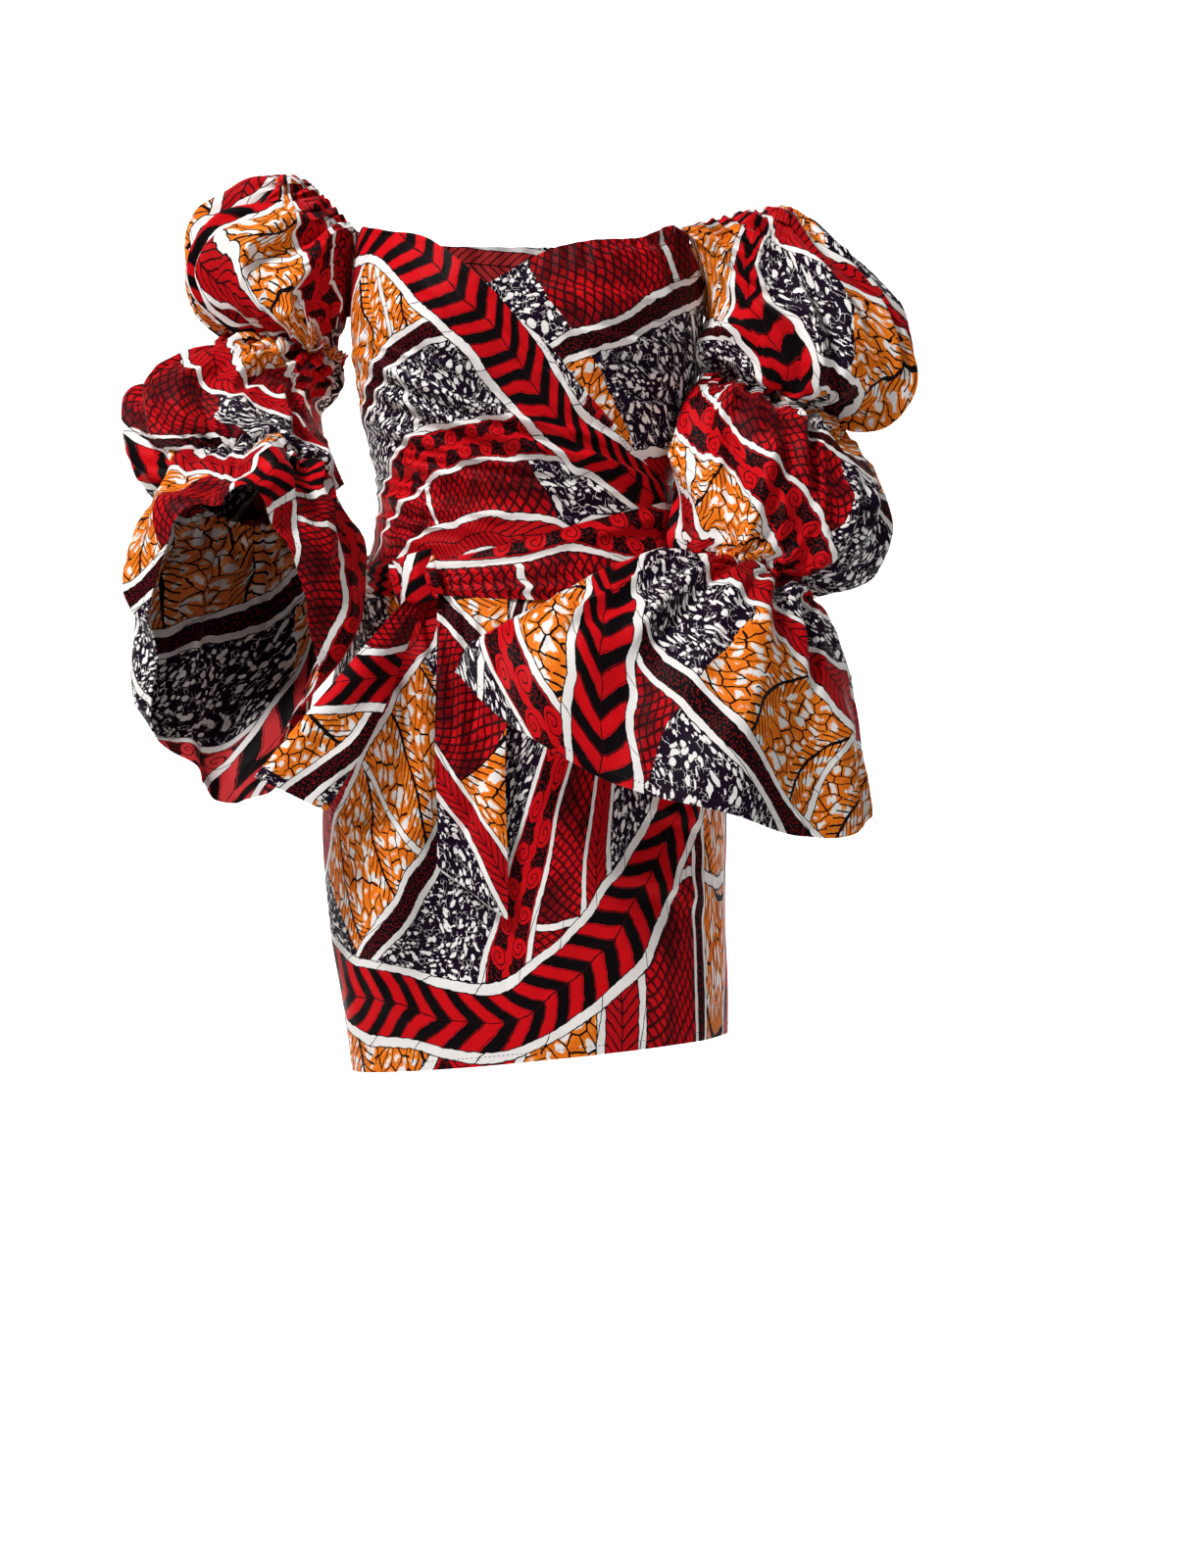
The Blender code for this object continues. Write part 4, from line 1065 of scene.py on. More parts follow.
def bulge(place, along, size, around, steps):
    """The swell of a tier beside the body, a bell curve round the sleeve and along it."""
    aside = (around - math.radians(place) + np.pi) % (2 * np.pi) - np.pi
    lengthwise = np.exp(-(((steps - along) / BULGE_LONG) ** 2))[:, None]
    return size * np.exp(-((aside / BULGE_ROUND) ** 2))[None, :] * lengthwise


def make_tier(side, name, rings, ends, rows):
    """One tier: a tube through its rings, moved along its normals by slow waves, folds, dents and
    gathers, and kept clear of the figure."""
    tier = f"{side}_{name}"
    around = SEAM_AT[side] + np.linspace(0.0, 2 * np.pi, SLEEVE_COLUMNS + 1)[:-1]
    steps = rows_of(SLEEVE_ROWS[name])
    points, length = tube(rings(around), steps)
    down = steps * length
    up = (1 - steps) * length
    first, last = ends
    dents, seed = CRUMPLE[name]
    height = slow_waves(around, steps, rows, last is not None)
    height = height + long_folds(tier, around, steps, length)
    height = height + crumple(around, down, SIDE_SEED[side] + seed, dents)
    if tier in BULGES:
        height = height + bulge(*BULGES[tier], around, steps)
    height = height * (ease(down / END_EASE) * (ease(up / END_EASE) if last else 1.0))[:, None]
    near = gathers(around, down, first, PUFF_GATHER if last else BELL_GATHER)
    if last:
        near = near + gathers(around, up, last, PUFF_GATHER)
    height = height + near * np.where((steps > 0) & (steps < 1), 1.0, 0.0)[:, None]
    if name == "upper_puff":
        sewn = mouth_points(side, around)[1]
        height = height * np.where(sewn[None, :], ease(steps[:, None] / SEWN_EASE), 1.0)
    outer = points + normals(points, True) * height[..., None]
    outer[1:-1] = clear_of_figure(outer, SLEEVE_CLEAR[name])[1:-1]
    hem = 1 + (up < HEM_DEPTH) * (last is None)
    inner = outer - normals(outer, True) * CLOTH * hem[:, None, None]
    OUTER[f"cloth_{tier}"] = outer
    shift, wide = TIER_PRINT[tier]
    ring = np.concatenate([outer, outer[:, :1]], axis=1)
    flat_u = (run_share(ring, 1) - 0.5) * wide
    if last is None:
        flat_u = flat_u * (BELL_TOP + (1 - BELL_TOP) * steps[:, None])
    flat = turn_map(flat_u, run_share(ring, 0) * length, 0, shift)
    mean_width = wide if last else wide * (1 + BELL_TOP) / 2
    cut = wide, float(length), float(mean_width * length)
    add_cloth(f"cloth_{tier}", outer, inner, flat, closed=True, cut=cut)


SLEEVE_TABLES = {
    "left": (
        LEFT_UPPER_PUFF, LEFT_UPPER_ELASTIC, LEFT_LOWER_PUFF, LEFT_LOWER_ELASTIC,
        LEFT_BELL, LEFT_FLUTES,
    ),
    "right": (
        RIGHT_UPPER_PUFF, RIGHT_UPPER_ELASTIC, RIGHT_LOWER_PUFF, RIGHT_LOWER_ELASTIC,
        RIGHT_BELL, RIGHT_FLUTES,
    ),
}


def make_sleeve(side):
    """The three tiers: each runs from the edge above it, through its own rings, to the next elastic,
    and the bell to its rim."""
    upper, upper_elastic, lower, lower_elastic, flare, flutes = SLEEVE_TABLES[side]
    mouth, first, second = f"{side}_mouth", f"{side}_upper", f"{side}_lower"

    def upper_rings(around):
        ends = mouth_points(side, around)[0], elastic_points(upper_elastic, around, first)
        return [ends[0], *(ring_points(r, around) for r in upper), ends[1]]

    def lower_rings(around):
        ends = elastic_points(upper_elastic, around, first), elastic_points(lower_elastic, around, second)
        return [ends[0], *(ring_points(r, around) for r in lower), ends[1]]

    def bell_rings(around):
        return [elastic_points(lower_elastic, around, second), *(ring_points(r, around) for r in flare)]

    make_tier(side, "upper_puff", upper_rings, (mouth, first), PUFF_WAVES)
    make_tier(side, "lower_puff", lower_rings, (first, second), PUFF_WAVES)
    make_tier(side, "bell", bell_rings, (second, None), flutes)


make_sleeve("left")
make_sleeve("right")
print("pieces", len(PIECES), "polygons", sum(len(o.data.polygons) for o in PIECES.values()))


# %% [markdown]
# Hems, the neck edge and the casings of the elastics are machine stitched. A stitch is a short
# thread that dips into the cloth at both ends, so each is a small eight-sided lozenge lying on the
# cloth. Real stitches are 2.5 mm long and 0.3 mm thick. These are 2.8 mm and 0.7 mm, to show.

# %% Stitching
STITCH_LENGTH = 0.0028
STITCH_SPACING = 0.0038
STITCH_WIDTH = 0.0007
STITCH_HEIGHT = 0.0004
EDGE_TO_STITCH = 0.0075
CASING = 0.0060
STITCHES = {}


def seam_line(points, edge_row, away):
    """The line on a grid at a set distance from its first or last row, and the normals along it."""
    turned = 1 if edge_row == 0 else -1
    grid, normal = points[::turned], normals(points, False)[::turned]
    run = run_length(grid)
    row = np.clip((run < away).sum(axis=0) - 1, 0, len(grid) - 2)
    column = np.arange(grid.shape[1])
    share = ((away - run[row, column]) / (run[row + 1, column] - run[row, column]))[:, None]
    return grid[row, column] * (1 - share) + grid[row + 1, column] * share, normal[row, column]


def lozenges(line, normal):
    """Six points a stitch: its two ends, its two sides, its top and its foot."""
    run = run_length(line)
    middle = np.arange(STITCH_SPACING, run[-1] - STITCH_SPACING, STITCH_SPACING)

    def at(place, values):
        return np.stack([np.interp(place, run, values[:, i]) for i in range(3)], axis=-1)

    start, end = at(middle - STITCH_LENGTH / 2, line), at(middle + STITCH_LENGTH / 2, line)
    up = at(middle, normal)
    up /= np.linalg.norm(up, axis=-1, keepdims=True)
    aside = np.cross(end - start, up)
    aside *= STITCH_WIDTH / 2 / np.linalg.norm(aside, axis=-1, keepdims=True)
    centre, up = at(middle, line), up * STITCH_HEIGHT
    return np.stack([start, centre + aside, end, centre - aside, centre + up, centre - up], axis=1)


def stitch_piece(name, rows):
    """One mesh of all the stitches on a piece, in rows at a distance from its grid's first or last
    row. A stitch has eight faces, four round its top and four below."""
    points = OUTER[name]
    if len(points[0]) == SLEEVE_COLUMNS:
        points = np.concatenate([points, points[:, :1]], axis=1)
    points = np.concatenate([lozenges(*seam_line(points, edge_row, away)) for edge_row, away in rows])
    around = [(0, 1), (1, 2), (2, 3), (3, 0)]
    face = np.array([(a, b, 4) for a, b in around] + [(b, a, 5) for a, b in around])
    faces = (face[None] + 6 * np.arange(len(points))[:, None, None]).reshape(-1, 3)
    STITCHES[name] = new_object(name.replace("cloth", "stitching"), points, faces)
    print(name, "stitches", len(points))


for name in ("cloth_skirt_front", "cloth_skirt_back"):
    stitch_piece(name, [(0, EDGE_TO_STITCH)])
for name in ("cloth_bodice_front_over", "cloth_bodice_front_under", "cloth_bodice_back"):
    stitch_piece(name, [(-1, CASING)])
for side in ("left", "right"):
    stitch_piece(f"cloth_{side}_upper_puff", [(0, CASING), (-1, CASING)])
    stitch_piece(f"cloth_{side}_lower_puff", [(0, CASING), (-1, CASING)])
    stitch_piece(f"cloth_{side}_bell", [(0, CASING), (-1, EDGE_TO_STITCH)])

# %% [markdown]
# The cloth is waxed cotton print: wax is stamped on white cotton to keep dye out, then it is dyed
# and overprinted. That gives crisp white borders with hair cracks, motifs that never line up to the
# last millimetre, and the same picture on both sides. The print here is a layout of our own in the
# usual kinds of motif: chevron bands, herringbone, leaf, crackle, lattice and scroll. It is worked
# out in nodes from each piece's flat map in metres, so it follows every fold and stays to scale.

# %% One helper for nodes, one for colours
NOISE = "ShaderNodeTexNoise"
CELLS = "ShaderNodeTexVoronoi"
RANGE = "ShaderNodeMapRange"
BUMP = "ShaderNodeBump"


def linear(code):
    """sRGB hex to linear light: ((c + 0.055) / 1.055) ** 2.4, or c / 12.92 near black."""
    values = [int(code[i : i + 2], 16) / 255 for i in (1, 3, 5)]
    return [c / 12.92 if c <= 0.04045 else ((c + 0.055) / 1.055) ** 2.4 for c in values] + [1.0]


def add(tree, kind, *inputs, output=None, **settings):
    """Adds a node: sets its properties, fills its inputs in order, and gives back an output. A kind
    in capitals is a colour MIX, or an operation of Math, or after VECTOR_ of Vector Math."""
    if kind == "MIX":
        kind, settings["data_type"] = "ShaderNodeMix", "RGBA"
    elif kind.startswith("VECTOR_"):
        kind, settings["operation"] = "ShaderNodeVectorMath", kind.removeprefix("VECTOR_")
    elif kind.isupper():
        kind, settings["operation"] = "ShaderNodeMath", kind
    node = tree.nodes.new(kind)
    for name, value in settings.items():
        setattr(node, name, value)
    for socket, value in zip([s for s in node.inputs if s.enabled], inputs):
        if isinstance(value, bpy.types.NodeSocket):
            tree.links.new(value, socket)
        elif value is not None:
            socket.default_value = value
    return node.outputs[output] if output else next(s for s in node.outputs if s.enabled)


WHITE = linear("#f4efec")
INK = linear("#090306")
PURPLE = linear("#17061c")
RED = linear("#cf0914")
BAND_RED = linear("#bb0912")
DEEP_RED = linear("#7c060e")
DARK_RED = linear("#260409")
ORANGE = linear("#fa8c26")
DEEP_ORANGE = linear("#ee7416")

# %% Sizes in the print, in metres
STRIP_PERIOD = 0.42
STRIP_HALF = 0.023
STRIP_BORDER = 0.0080
CHEVRON_PITCH = 0.026
STACK_PERIOD = 0.335
BAND_AT = {"herring": 0.020, "black": 0.142, "scroll": 0.262}
BAND_HALF = {"herring": 0.013, "black": 0.0075, "scroll": 0.0200}
BORDER = 0.0066
OUTLINE = 0.00045
CROSS_PERIOD = 0.26
BAND_TURN = math.radians(35)
SLOW_WOBBLE = (11.0, 0.022)
FAST_WOBBLE = (170.0, 0.0016)

# %% [markdown]
# First the plan of the print: distances to the middles of the strips and bands. Strips of
# chevrons run one way, on top of three kinds of band that run across them, and single white lines
# slant through the fields between. Everything white comes from one distance to the nearest border.

# %% The print's plan


def combine(tree, a, share_a, b, share_b):
    """a and b, each times its share, in one sum."""
    return add(tree, "MULTIPLY_ADD", a, share_a, add(tree, "MULTIPLY", b, share_b))


def to_line(tree, value, period):
    """The distance to the nearest of the lines that lie one period apart."""
    return add(tree, "ABSOLUTE", add(tree, "WRAP", value, period / 2, -period / 2))


def print_plan(tree, cloth):
    """Distances and indices on the cloth. Each wobble is a small noise, as a hand-cut stamp has."""
    place = cloth
    for scale, size in (SLOW_WOBBLE, FAST_WOBBLE):
        noise = add(tree, NOISE, cloth, scale, 1.0, output="Color", noise_dimensions="2D")
        noise = add(tree, "VECTOR_SUBTRACT", noise, (0.5, 0.5, 0.5))
        place = add(tree, "VECTOR_ADD", place, add(tree, "VECTOR_SCALE", noise, size))
    u = add(tree, "ShaderNodeSeparateXYZ", place, output="X")
    v = u.node.outputs["Y"]
    plan = {"place": place, "u": u, "v": v, "strip": to_line(tree, u, STRIP_PERIOD)}
    plan["level"] = combine(tree, v, math.cos(BAND_TURN), u, math.sin(BAND_TURN))
    plan["along"] = combine(tree, u, math.cos(BAND_TURN), v, -math.sin(BAND_TURN))
    plan["stack"] = add(tree, "WRAP", plan["level"], STACK_PERIOD, 0.0)
    for name, middle in BAND_AT.items():
        plan[name] = add(tree, "ABSOLUTE", add(tree, "SUBTRACT", plan["stack"], middle))
    plan["slant"] = combine(tree, v, -0.55, u, 0.84)
    plan["cross"] = to_line(tree, plan["slant"], CROSS_PERIOD)
    return plan


def border_distance(tree, plan):
    """Below zero on a white border: a band's edge distance less half a border, and strips hide bands."""
    bands, inside = [], []
    for name, half in BAND_HALF.items():
        from_middle = add(tree, "SUBTRACT", plan[name], half + BORDER / 2)
        bands.append(add(tree, "SUBTRACT", add(tree, "ABSOLUTE", from_middle), BORDER / 2))
        inside.append(add(tree, "SUBTRACT", from_middle, BORDER / 2))
    bands = add(tree, "MINIMUM", add(tree, "MINIMUM", bands[0], bands[1]), bands[2])
    inside = add(tree, "MINIMUM", add(tree, "MINIMUM", inside[0], inside[1]), inside[2])
    strips = add(tree, "SUBTRACT", plan["strip"], STRIP_HALF + STRIP_BORDER / 2)
    strips = add(tree, "SUBTRACT", add(tree, "ABSOLUTE", strips), STRIP_BORDER / 2)
    crossing = add(tree, "SUBTRACT", plan["cross"], BORDER / 2)
    crossing = add(tree, "MAXIMUM", crossing, add(tree, "MULTIPLY", inside, -1.0))
    under = add(tree, "SUBTRACT", STRIP_HALF + STRIP_BORDER, plan["strip"])
    below = add(tree, "MAXIMUM", add(tree, "MINIMUM", bands, crossing), under)
    return add(tree, "MINIMUM", below, strips)


# %% [markdown]
# The motifs. Each is a small recipe of distances: a leaf's midrib with barbs, a net of cells whose
# middles were left white, pebbles of crackle, a lattice of diamonds, and bands of chevrons.

# %% Motifs


def stripes(tree, value, pitch, share):
    """1 where value falls in the first share of each pitch."""
    return add(tree, "LESS_THAN", add(tree, "FRACT", add(tree, "DIVIDE", value, pitch)), share)


def leaf_ground(tree, plan):
    """Orange, with a midrib every 62 mm. Barbs 7 mm apart slant from it for 12 mm, and a net of cells
    with white middles fills the rest."""
    along = combine(tree, plan["u"], 0.80, plan["v"], 0.60)
    aside = combine(tree, plan["v"], 0.80, plan["u"], -0.60)
    bow = add(tree, "SINE", add(tree, "MULTIPLY", along, 34.0))
    rib = to_line(tree, add(tree, "MULTIPLY_ADD", bow, 0.011, aside), 0.062)
    barbs = stripes(tree, add(tree, "MULTIPLY_ADD", rib, -0.95, along), 0.0068, 0.25)
    barbs = add(tree, "MULTIPLY", barbs, add(tree, "LESS_THAN", rib, 0.0125))
    midrib = add(tree, "LESS_THAN", rib, 0.0015)
    cell_place = add(tree, "VECTOR_MULTIPLY", plan["place"], (64.0, 112.0, 1.0))
    net = add(tree, CELLS, cell_place, 1.0, voronoi_dimensions="2D", feature="DISTANCE_TO_EDGE")
    lines = add(tree, "LESS_THAN", net, 0.055)
    lines = add(tree, "MULTIPLY", lines, add(tree, "GREATER_THAN", rib, 0.0135))
    blot = add(tree, NOISE, plan["place"], 85.0, 2.0, noise_dimensions="2D")
    whiter = add(tree, "ADD", blot, add(tree, RANGE, net, 0.10, 0.45, 0.0, 0.26))
    tone = add(tree, "MIX", add(tree, RANGE, blot, 0.35, 0.6, 0.0, 1.0), DEEP_ORANGE, ORANGE)
    tone = add(tree, "MIX", add(tree, RANGE, whiter, 0.61, 0.69, 0.0, 1.0), tone, WHITE)
    dark = add(tree, "MAXIMUM", add(tree, "MAXIMUM", barbs, lines), midrib)
    return add(tree, "MIX", dark, tone, INK)


def crackle_ground(tree, plan):
    """Purple-black, with white pebbles 3 to 8 mm long: every point nearer to a cell's middle than a
    size that a noise sets. White hair lines run between them where the wax cracked."""
    swirl = add(tree, NOISE, plan["place"], 30.0, 0.0, output="Color", noise_dimensions="2D")
    swirl = add(tree, "VECTOR_SCALE", swirl, 0.020)
    cell_place = add(tree, "VECTOR_ADD", plan["place"], swirl)
    cell_place = add(tree, "VECTOR_MULTIPLY", cell_place, (165.0, 122.0, 1.0))
    gap = add(tree, CELLS, cell_place, 1.0, output="Distance", voronoi_dimensions="2D", feature="F1")
    size = add(tree, NOISE, plan["place"], 95.0, 1.0, noise_dimensions="2D")
    pebbles = add(tree, "LESS_THAN", gap, add(tree, RANGE, size, 0.38, 0.62, 0.375, 0.14))
    fine_place = add(tree, "VECTOR_SUBTRACT", plan["place"], swirl)
    fine_place = add(tree, "VECTOR_MULTIPLY", fine_place, (250.0, 190.0, 1.0))
    veins = add(tree, CELLS, fine_place, 1.0, voronoi_dimensions="2D", feature="DISTANCE_TO_EDGE")
    some = add(tree, NOISE, plan["place"], 130.0, 1.0, noise_dimensions="2D")
    some = add(tree, "GREATER_THAN", some, 0.52)
    veins = add(tree, "MULTIPLY", add(tree, "LESS_THAN", veins, 0.034), some)
    return add(tree, "MIX", add(tree, "MAXIMUM", pebbles, veins), PURPLE, WHITE)


def lattice_ground(tree, plan):
    """Dark red, with a lattice of small diamonds 8 mm wide and 13 mm long, brighter in clouds."""
    sides = []
    for slope in (0.60, -0.60):
        side = add(tree, "MULTIPLY_ADD", plan["level"], slope, plan["along"])
        sides.append(add(tree, "PINGPONG", add(tree, "DIVIDE", side, 0.0080), 0.5))
    inner = add(tree, "MINIMUM", *sides)
    diamonds = add(tree, "GREATER_THAN", inner, 0.17)
    cloud = add(tree, NOISE, plan["place"], 26.0, 2.0, noise_dimensions="2D")
    bright = add(tree, RANGE, cloud, 0.36, 0.60, 0.18, 1.0)
    base = add(tree, "MIX", bright, DARK_RED, DEEP_RED)
    base = add(tree, "MIX", add(tree, "MULTIPLY", diamonds, bright), base, RED)
    return add(tree, "MIX", add(tree, "LESS_THAN", inner, 0.070), base, DARK_RED)


def dotted_dark(tree, plan):
    """Near black, stippled with red dots 2.6 mm apart."""
    dot_place = add(tree, "VECTOR_SCALE", plan["place"], 380.0)
    dots = add(tree, CELLS, dot_place, 1.0, output="Distance", voronoi_dimensions="2D", feature="F1")
    return add(tree, "MIX", add(tree, "LESS_THAN", dots, 0.26), INK, DEEP_RED)


def chevron_strip(tree, plan):
    """Red and black arrows 13 mm wide: stripes of the distance along plus the distance aside. A hair
    line runs across each, and another down the middle."""
    bent = add(tree, "MULTIPLY_ADD", plan["strip"], 0.95, plan["v"])
    colour = add(tree, "MIX", stripes(tree, bent, CHEVRON_PITCH, 0.50), INK, RED)
    hair = stripes(tree, add(tree, "ADD", bent, 0.0016), CHEVRON_PITCH / 2, 0.065)
    colour = add(tree, "MIX", hair, colour, DEEP_RED)
    return add(tree, "MIX", add(tree, "LESS_THAN", plan["strip"], 0.0005), colour, DARK_RED)


def herringbone_band(tree, plan):
    """Red, with dark barbs 8 mm apart on both sides of a middle line."""
    bent = add(tree, "MULTIPLY_ADD", plan["herring"], 1.1, plan["along"])
    colour = add(tree, "MIX", stripes(tree, bent, 0.0082, 0.22), BAND_RED, DARK_RED)
    return add(tree, "MIX", add(tree, "LESS_THAN", plan["herring"], 0.0006), colour, DARK_RED)


def scroll_band(tree, plan):
    """A vine: a curl on each side in turn, red where the angle and the distance from the curl's
    middle wind together, on the dotted ground. A red rail edges the band."""
    side = add(tree, "SIGN", add(tree, "SUBTRACT", plan["stack"], BAND_AT["scroll"]))
    moved = add(tree, "MULTIPLY_ADD", side, 0.0075, plan["along"])
    x = add(tree, "WRAP", moved, 0.015, -0.015)
    y = add(tree, "SUBTRACT", plan["scroll"], 0.0098)
    r = add(tree, "SQRT", add(tree, "MULTIPLY_ADD", x, x, add(tree, "MULTIPLY", y, y)))
    turn = add(tree, "DIVIDE", add(tree, "ARCTAN2", y, x), 2 * math.pi)
    wound = add(tree, "ADD", add(tree, "DIVIDE", r, 0.0052), turn)
    curl = add(tree, "LESS_THAN", r, 0.0088)
    groove = add(tree, "LESS_THAN", add(tree, "FRACT", wound), 0.20)
    leaf = add(tree, "SINE", add(tree, "MULTIPLY", plan["along"], 2 * math.pi / 0.015))
    leaf = add(tree, "LESS_THAN", plan["scroll"], add(tree, "MULTIPLY_ADD", leaf, 0.0014, 0.0036))
    rail = add(tree, "GREATER_THAN", plan["scroll"], 0.0185)
    red = add(tree, "MAXIMUM", add(tree, "MAXIMUM", curl, leaf), rail)
    colour = add(tree, "MIX", red, dotted_dark(tree, plan), RED)
    return add(tree, "MIX", add(tree, "MULTIPLY", groove, curl), colour, DARK_RED)


BANDS = {"herring": herringbone_band, "black": dotted_dark, "scroll": scroll_band}


# %% Put the print together
FIELDS = 5.0
GROUNDS = 3.0
CRACK_PITCH = 0.047


def wax_print():
    """Fields by a running index modulo 5 and then 3, so that two in five are leaf, two crackle and
    one lattice. Then come bands, strips, white borders and outlines."""
    tree = bpy.data.node_groups.new("wax print", "ShaderNodeTree")
    tree.interface.new_socket("Cloth", in_out="INPUT", socket_type="NodeSocketVector")
    tree.interface.new_socket("Ground", in_out="INPUT", socket_type="NodeSocketFloat")
    tree.interface.new_socket("Color", in_out="OUTPUT", socket_type="NodeSocketColor")
    source, result = tree.nodes.new("NodeGroupInput"), tree.nodes.new("NodeGroupOutput")
    plan = print_plan(tree, source.outputs["Cloth"])
    index = add(tree, "FLOOR", add(tree, "DIVIDE", plan["u"], STRIP_PERIOD))
    row = add(tree, "FLOOR", add(tree, "DIVIDE", plan["level"], STACK_PERIOD))
    past_black = add(tree, "GREATER_THAN", plan["stack"], BAND_AT["black"])
    past_scroll = add(tree, "GREATER_THAN", plan["stack"], BAND_AT["scroll"])
    slanted = add(tree, "ADD", add(tree, "DIVIDE", plan["slant"], CROSS_PERIOD), 0.5)
    slanted = add(tree, "FLOOR", slanted)
    for more in (row, past_black, past_scroll, slanted, source.outputs["Ground"]):
        index = add(tree, "ADD", index, more)
    kind = add(tree, "WRAP", add(tree, "WRAP", index, FIELDS, 0.0), GROUNDS, 0.0)
    is_leaf = add(tree, "LESS_THAN", kind, 0.5)
    colour = add(tree, "MIX", is_leaf, crackle_ground(tree, plan), leaf_ground(tree, plan))
    is_lattice = add(tree, "GREATER_THAN", kind, 1.5)
    colour = add(tree, "MIX", is_lattice, colour, lattice_ground(tree, plan))
    for name, band in BANDS.items():
        on_band = add(tree, "LESS_THAN", plan[name], BAND_HALF[name] + BORDER / 2)
        colour = add(tree, "MIX", on_band, colour, band(tree, plan))
    on_strip = add(tree, "LESS_THAN", plan["strip"], STRIP_HALF + STRIP_BORDER / 2)
    colour = add(tree, "MIX", on_strip, colour, chevron_strip(tree, plan))
    white = border_distance(tree, plan)
    cracked = stripes(tree, add(tree, "ADD", plan["u"], plan["v"]), CRACK_PITCH, 0.020)
    border = add(tree, "MIX", cracked, WHITE, INK)
    colour = add(tree, "MIX", add(tree, "LESS_THAN", white, 0.0), colour, border)
    outline = add(tree, "LESS_THAN", add(tree, "ABSOLUTE", white), OUTLINE)
    tree.links.new(add(tree, "MIX", outline, colour, INK), result.inputs["Color"])
    return tree


WAX_PRINT = wax_print()
print("print nodes", len(WAX_PRINT.nodes))

# %% [markdown]
# The cloth itself is a plain weave of fine cotton, about 25 threads to the centimetre, pressed and
# starched by the wax. It has a dull, slightly crisp shine, and small dents where it has been handled.

# %% The cloth's finish
THREAD = 0.0004
# The bands of a wave texture lie pi/10 of its unit apart
TWIST_UNIT = 0.0009
DENT_SCALE = 42.0
CREASE_SCALE = 17.0
# Each bump's strength, and its depth in metres
CREASE_BUMP = (0.60, 0.010)
DENT_BUMP = (0.45, 0.0016)
WEAVE_BUMP = (0.30, 0.00006)
COTTON_SHINE = {"Specular IOR Level": 0.06, "Sheen Weight": 0.012, "Sheen Roughness": 0.5}


def new_material(name):
    """A material, its node tree and its shader."""
    material = bpy.data.materials.new(name)
    material.use_nodes = True
    return material, material.node_tree, material.node_tree.nodes["Principled BSDF"]


def printed_cotton(name, ground):
    """Waxed cotton print, plain woven: dull with a faint sheen, the weave and small dents as bump.
    The inner face is the same print with painted shade: a little duller and darker than the outer one."""
    material, tree, shader = new_material(name)
    cloth = add(tree, "ShaderNodeUVMap", uv_map="cloth")
    printed = add(tree, "ShaderNodeGroup", cloth, ground, node_tree=WAX_PRINT)
    inside = add(tree, "ShaderNodeAttribute", output="Fac", attribute_name="inside")
    # Painted shade: the inner face's print is dulled and darkened, as if it lay in shade.
    inside_painted_shade = add(tree, "ShaderNodeHueSaturation", 0.5, 0.95, 0.78, 1.0, printed)
    tint = add(tree, "MIX", inside, printed, inside_painted_shade)
    uneven = add(tree, NOISE, cloth, 7.0, 3.0, noise_dimensions="2D")
    uneven = add(tree, RANGE, uneven, 0.3, 0.7, 0.90, 1.0)
    tint = add(tree, "MIX", 1.0, tint, uneven, blend_type="MULTIPLY")
    tree.links.new(tint, shader.inputs["Base Color"])
    u = add(tree, "ShaderNodeSeparateXYZ", cloth, output="X")
    across = add(tree, "SINE", add(tree, "MULTIPLY", u, math.pi / THREAD))
    along = add(tree, "SINE", add(tree, "MULTIPLY", u.node.outputs["Y"], math.pi / THREAD))
    dents = add(tree, NOISE, cloth, DENT_SCALE, 3.0, 0.55, noise_dimensions="2D")
    creases = add(tree, NOISE, cloth, CREASE_SCALE, 2.0, 0.5, noise_dimensions="2D")
    creases = add(tree, "ABSOLUTE", add(tree, "SUBTRACT", creases, 0.5))
    creased = add(tree, BUMP, *CREASE_BUMP, None, creases)
    dented = add(tree, BUMP, *DENT_BUMP, None, dents, creased)
    woven = add(tree, BUMP, *WEAVE_BUMP, None, add(tree, "MULTIPLY", across, along), dented)
    tree.links.new(woven, shader.inputs["Normal"])
    rough = add(tree, NOISE, cloth, 60.0, 2.0, noise_dimensions="2D")
    tree.links.new(add(tree, RANGE, rough, 0.3, 0.7, 0.50, 0.64), shader.inputs["Roughness"])
    for label, value in COTTON_SHINE.items():
        shader.inputs[label].default_value = value
    return material


def sewing_thread():
    """Polyester sewing thread, spun and twisted: dark, with a soft shine, and painted shade and highlight in
    bands every 0.3 mm along its twist.
    """
    material, tree, shader = new_material("polyester sewing thread")
    place = add(tree, "ShaderNodeTexCoord", output="Object")
    # Painted shade and highlight: darker grooves and lighter ridges of the twisted plies.
    twist_shade = add(tree, "ShaderNodeTexWave", place, 1 / TWIST_UNIT, 1.0, output="Fac")
    tint = add(tree, "MIX", twist_shade, linear("#16060b"), linear("#3a141b"))
    tree.links.new(tint, shader.inputs["Base Color"])
    shader.inputs["Roughness"].default_value = 0.5
    return material


THREAD_FINISH = sewing_thread()
COTTON = {
    "print_orange_ground": printed_cotton("waxed cotton print, orange ground", 0.0),
    "print_purple_ground": printed_cotton("waxed cotton print, purple ground", 1.0),
    "print_red_ground": printed_cotton("waxed cotton print, red ground", 2.0),
}


# %% [markdown]
# Each piece of cloth stands for one node of the solid model, and takes that node's finish.

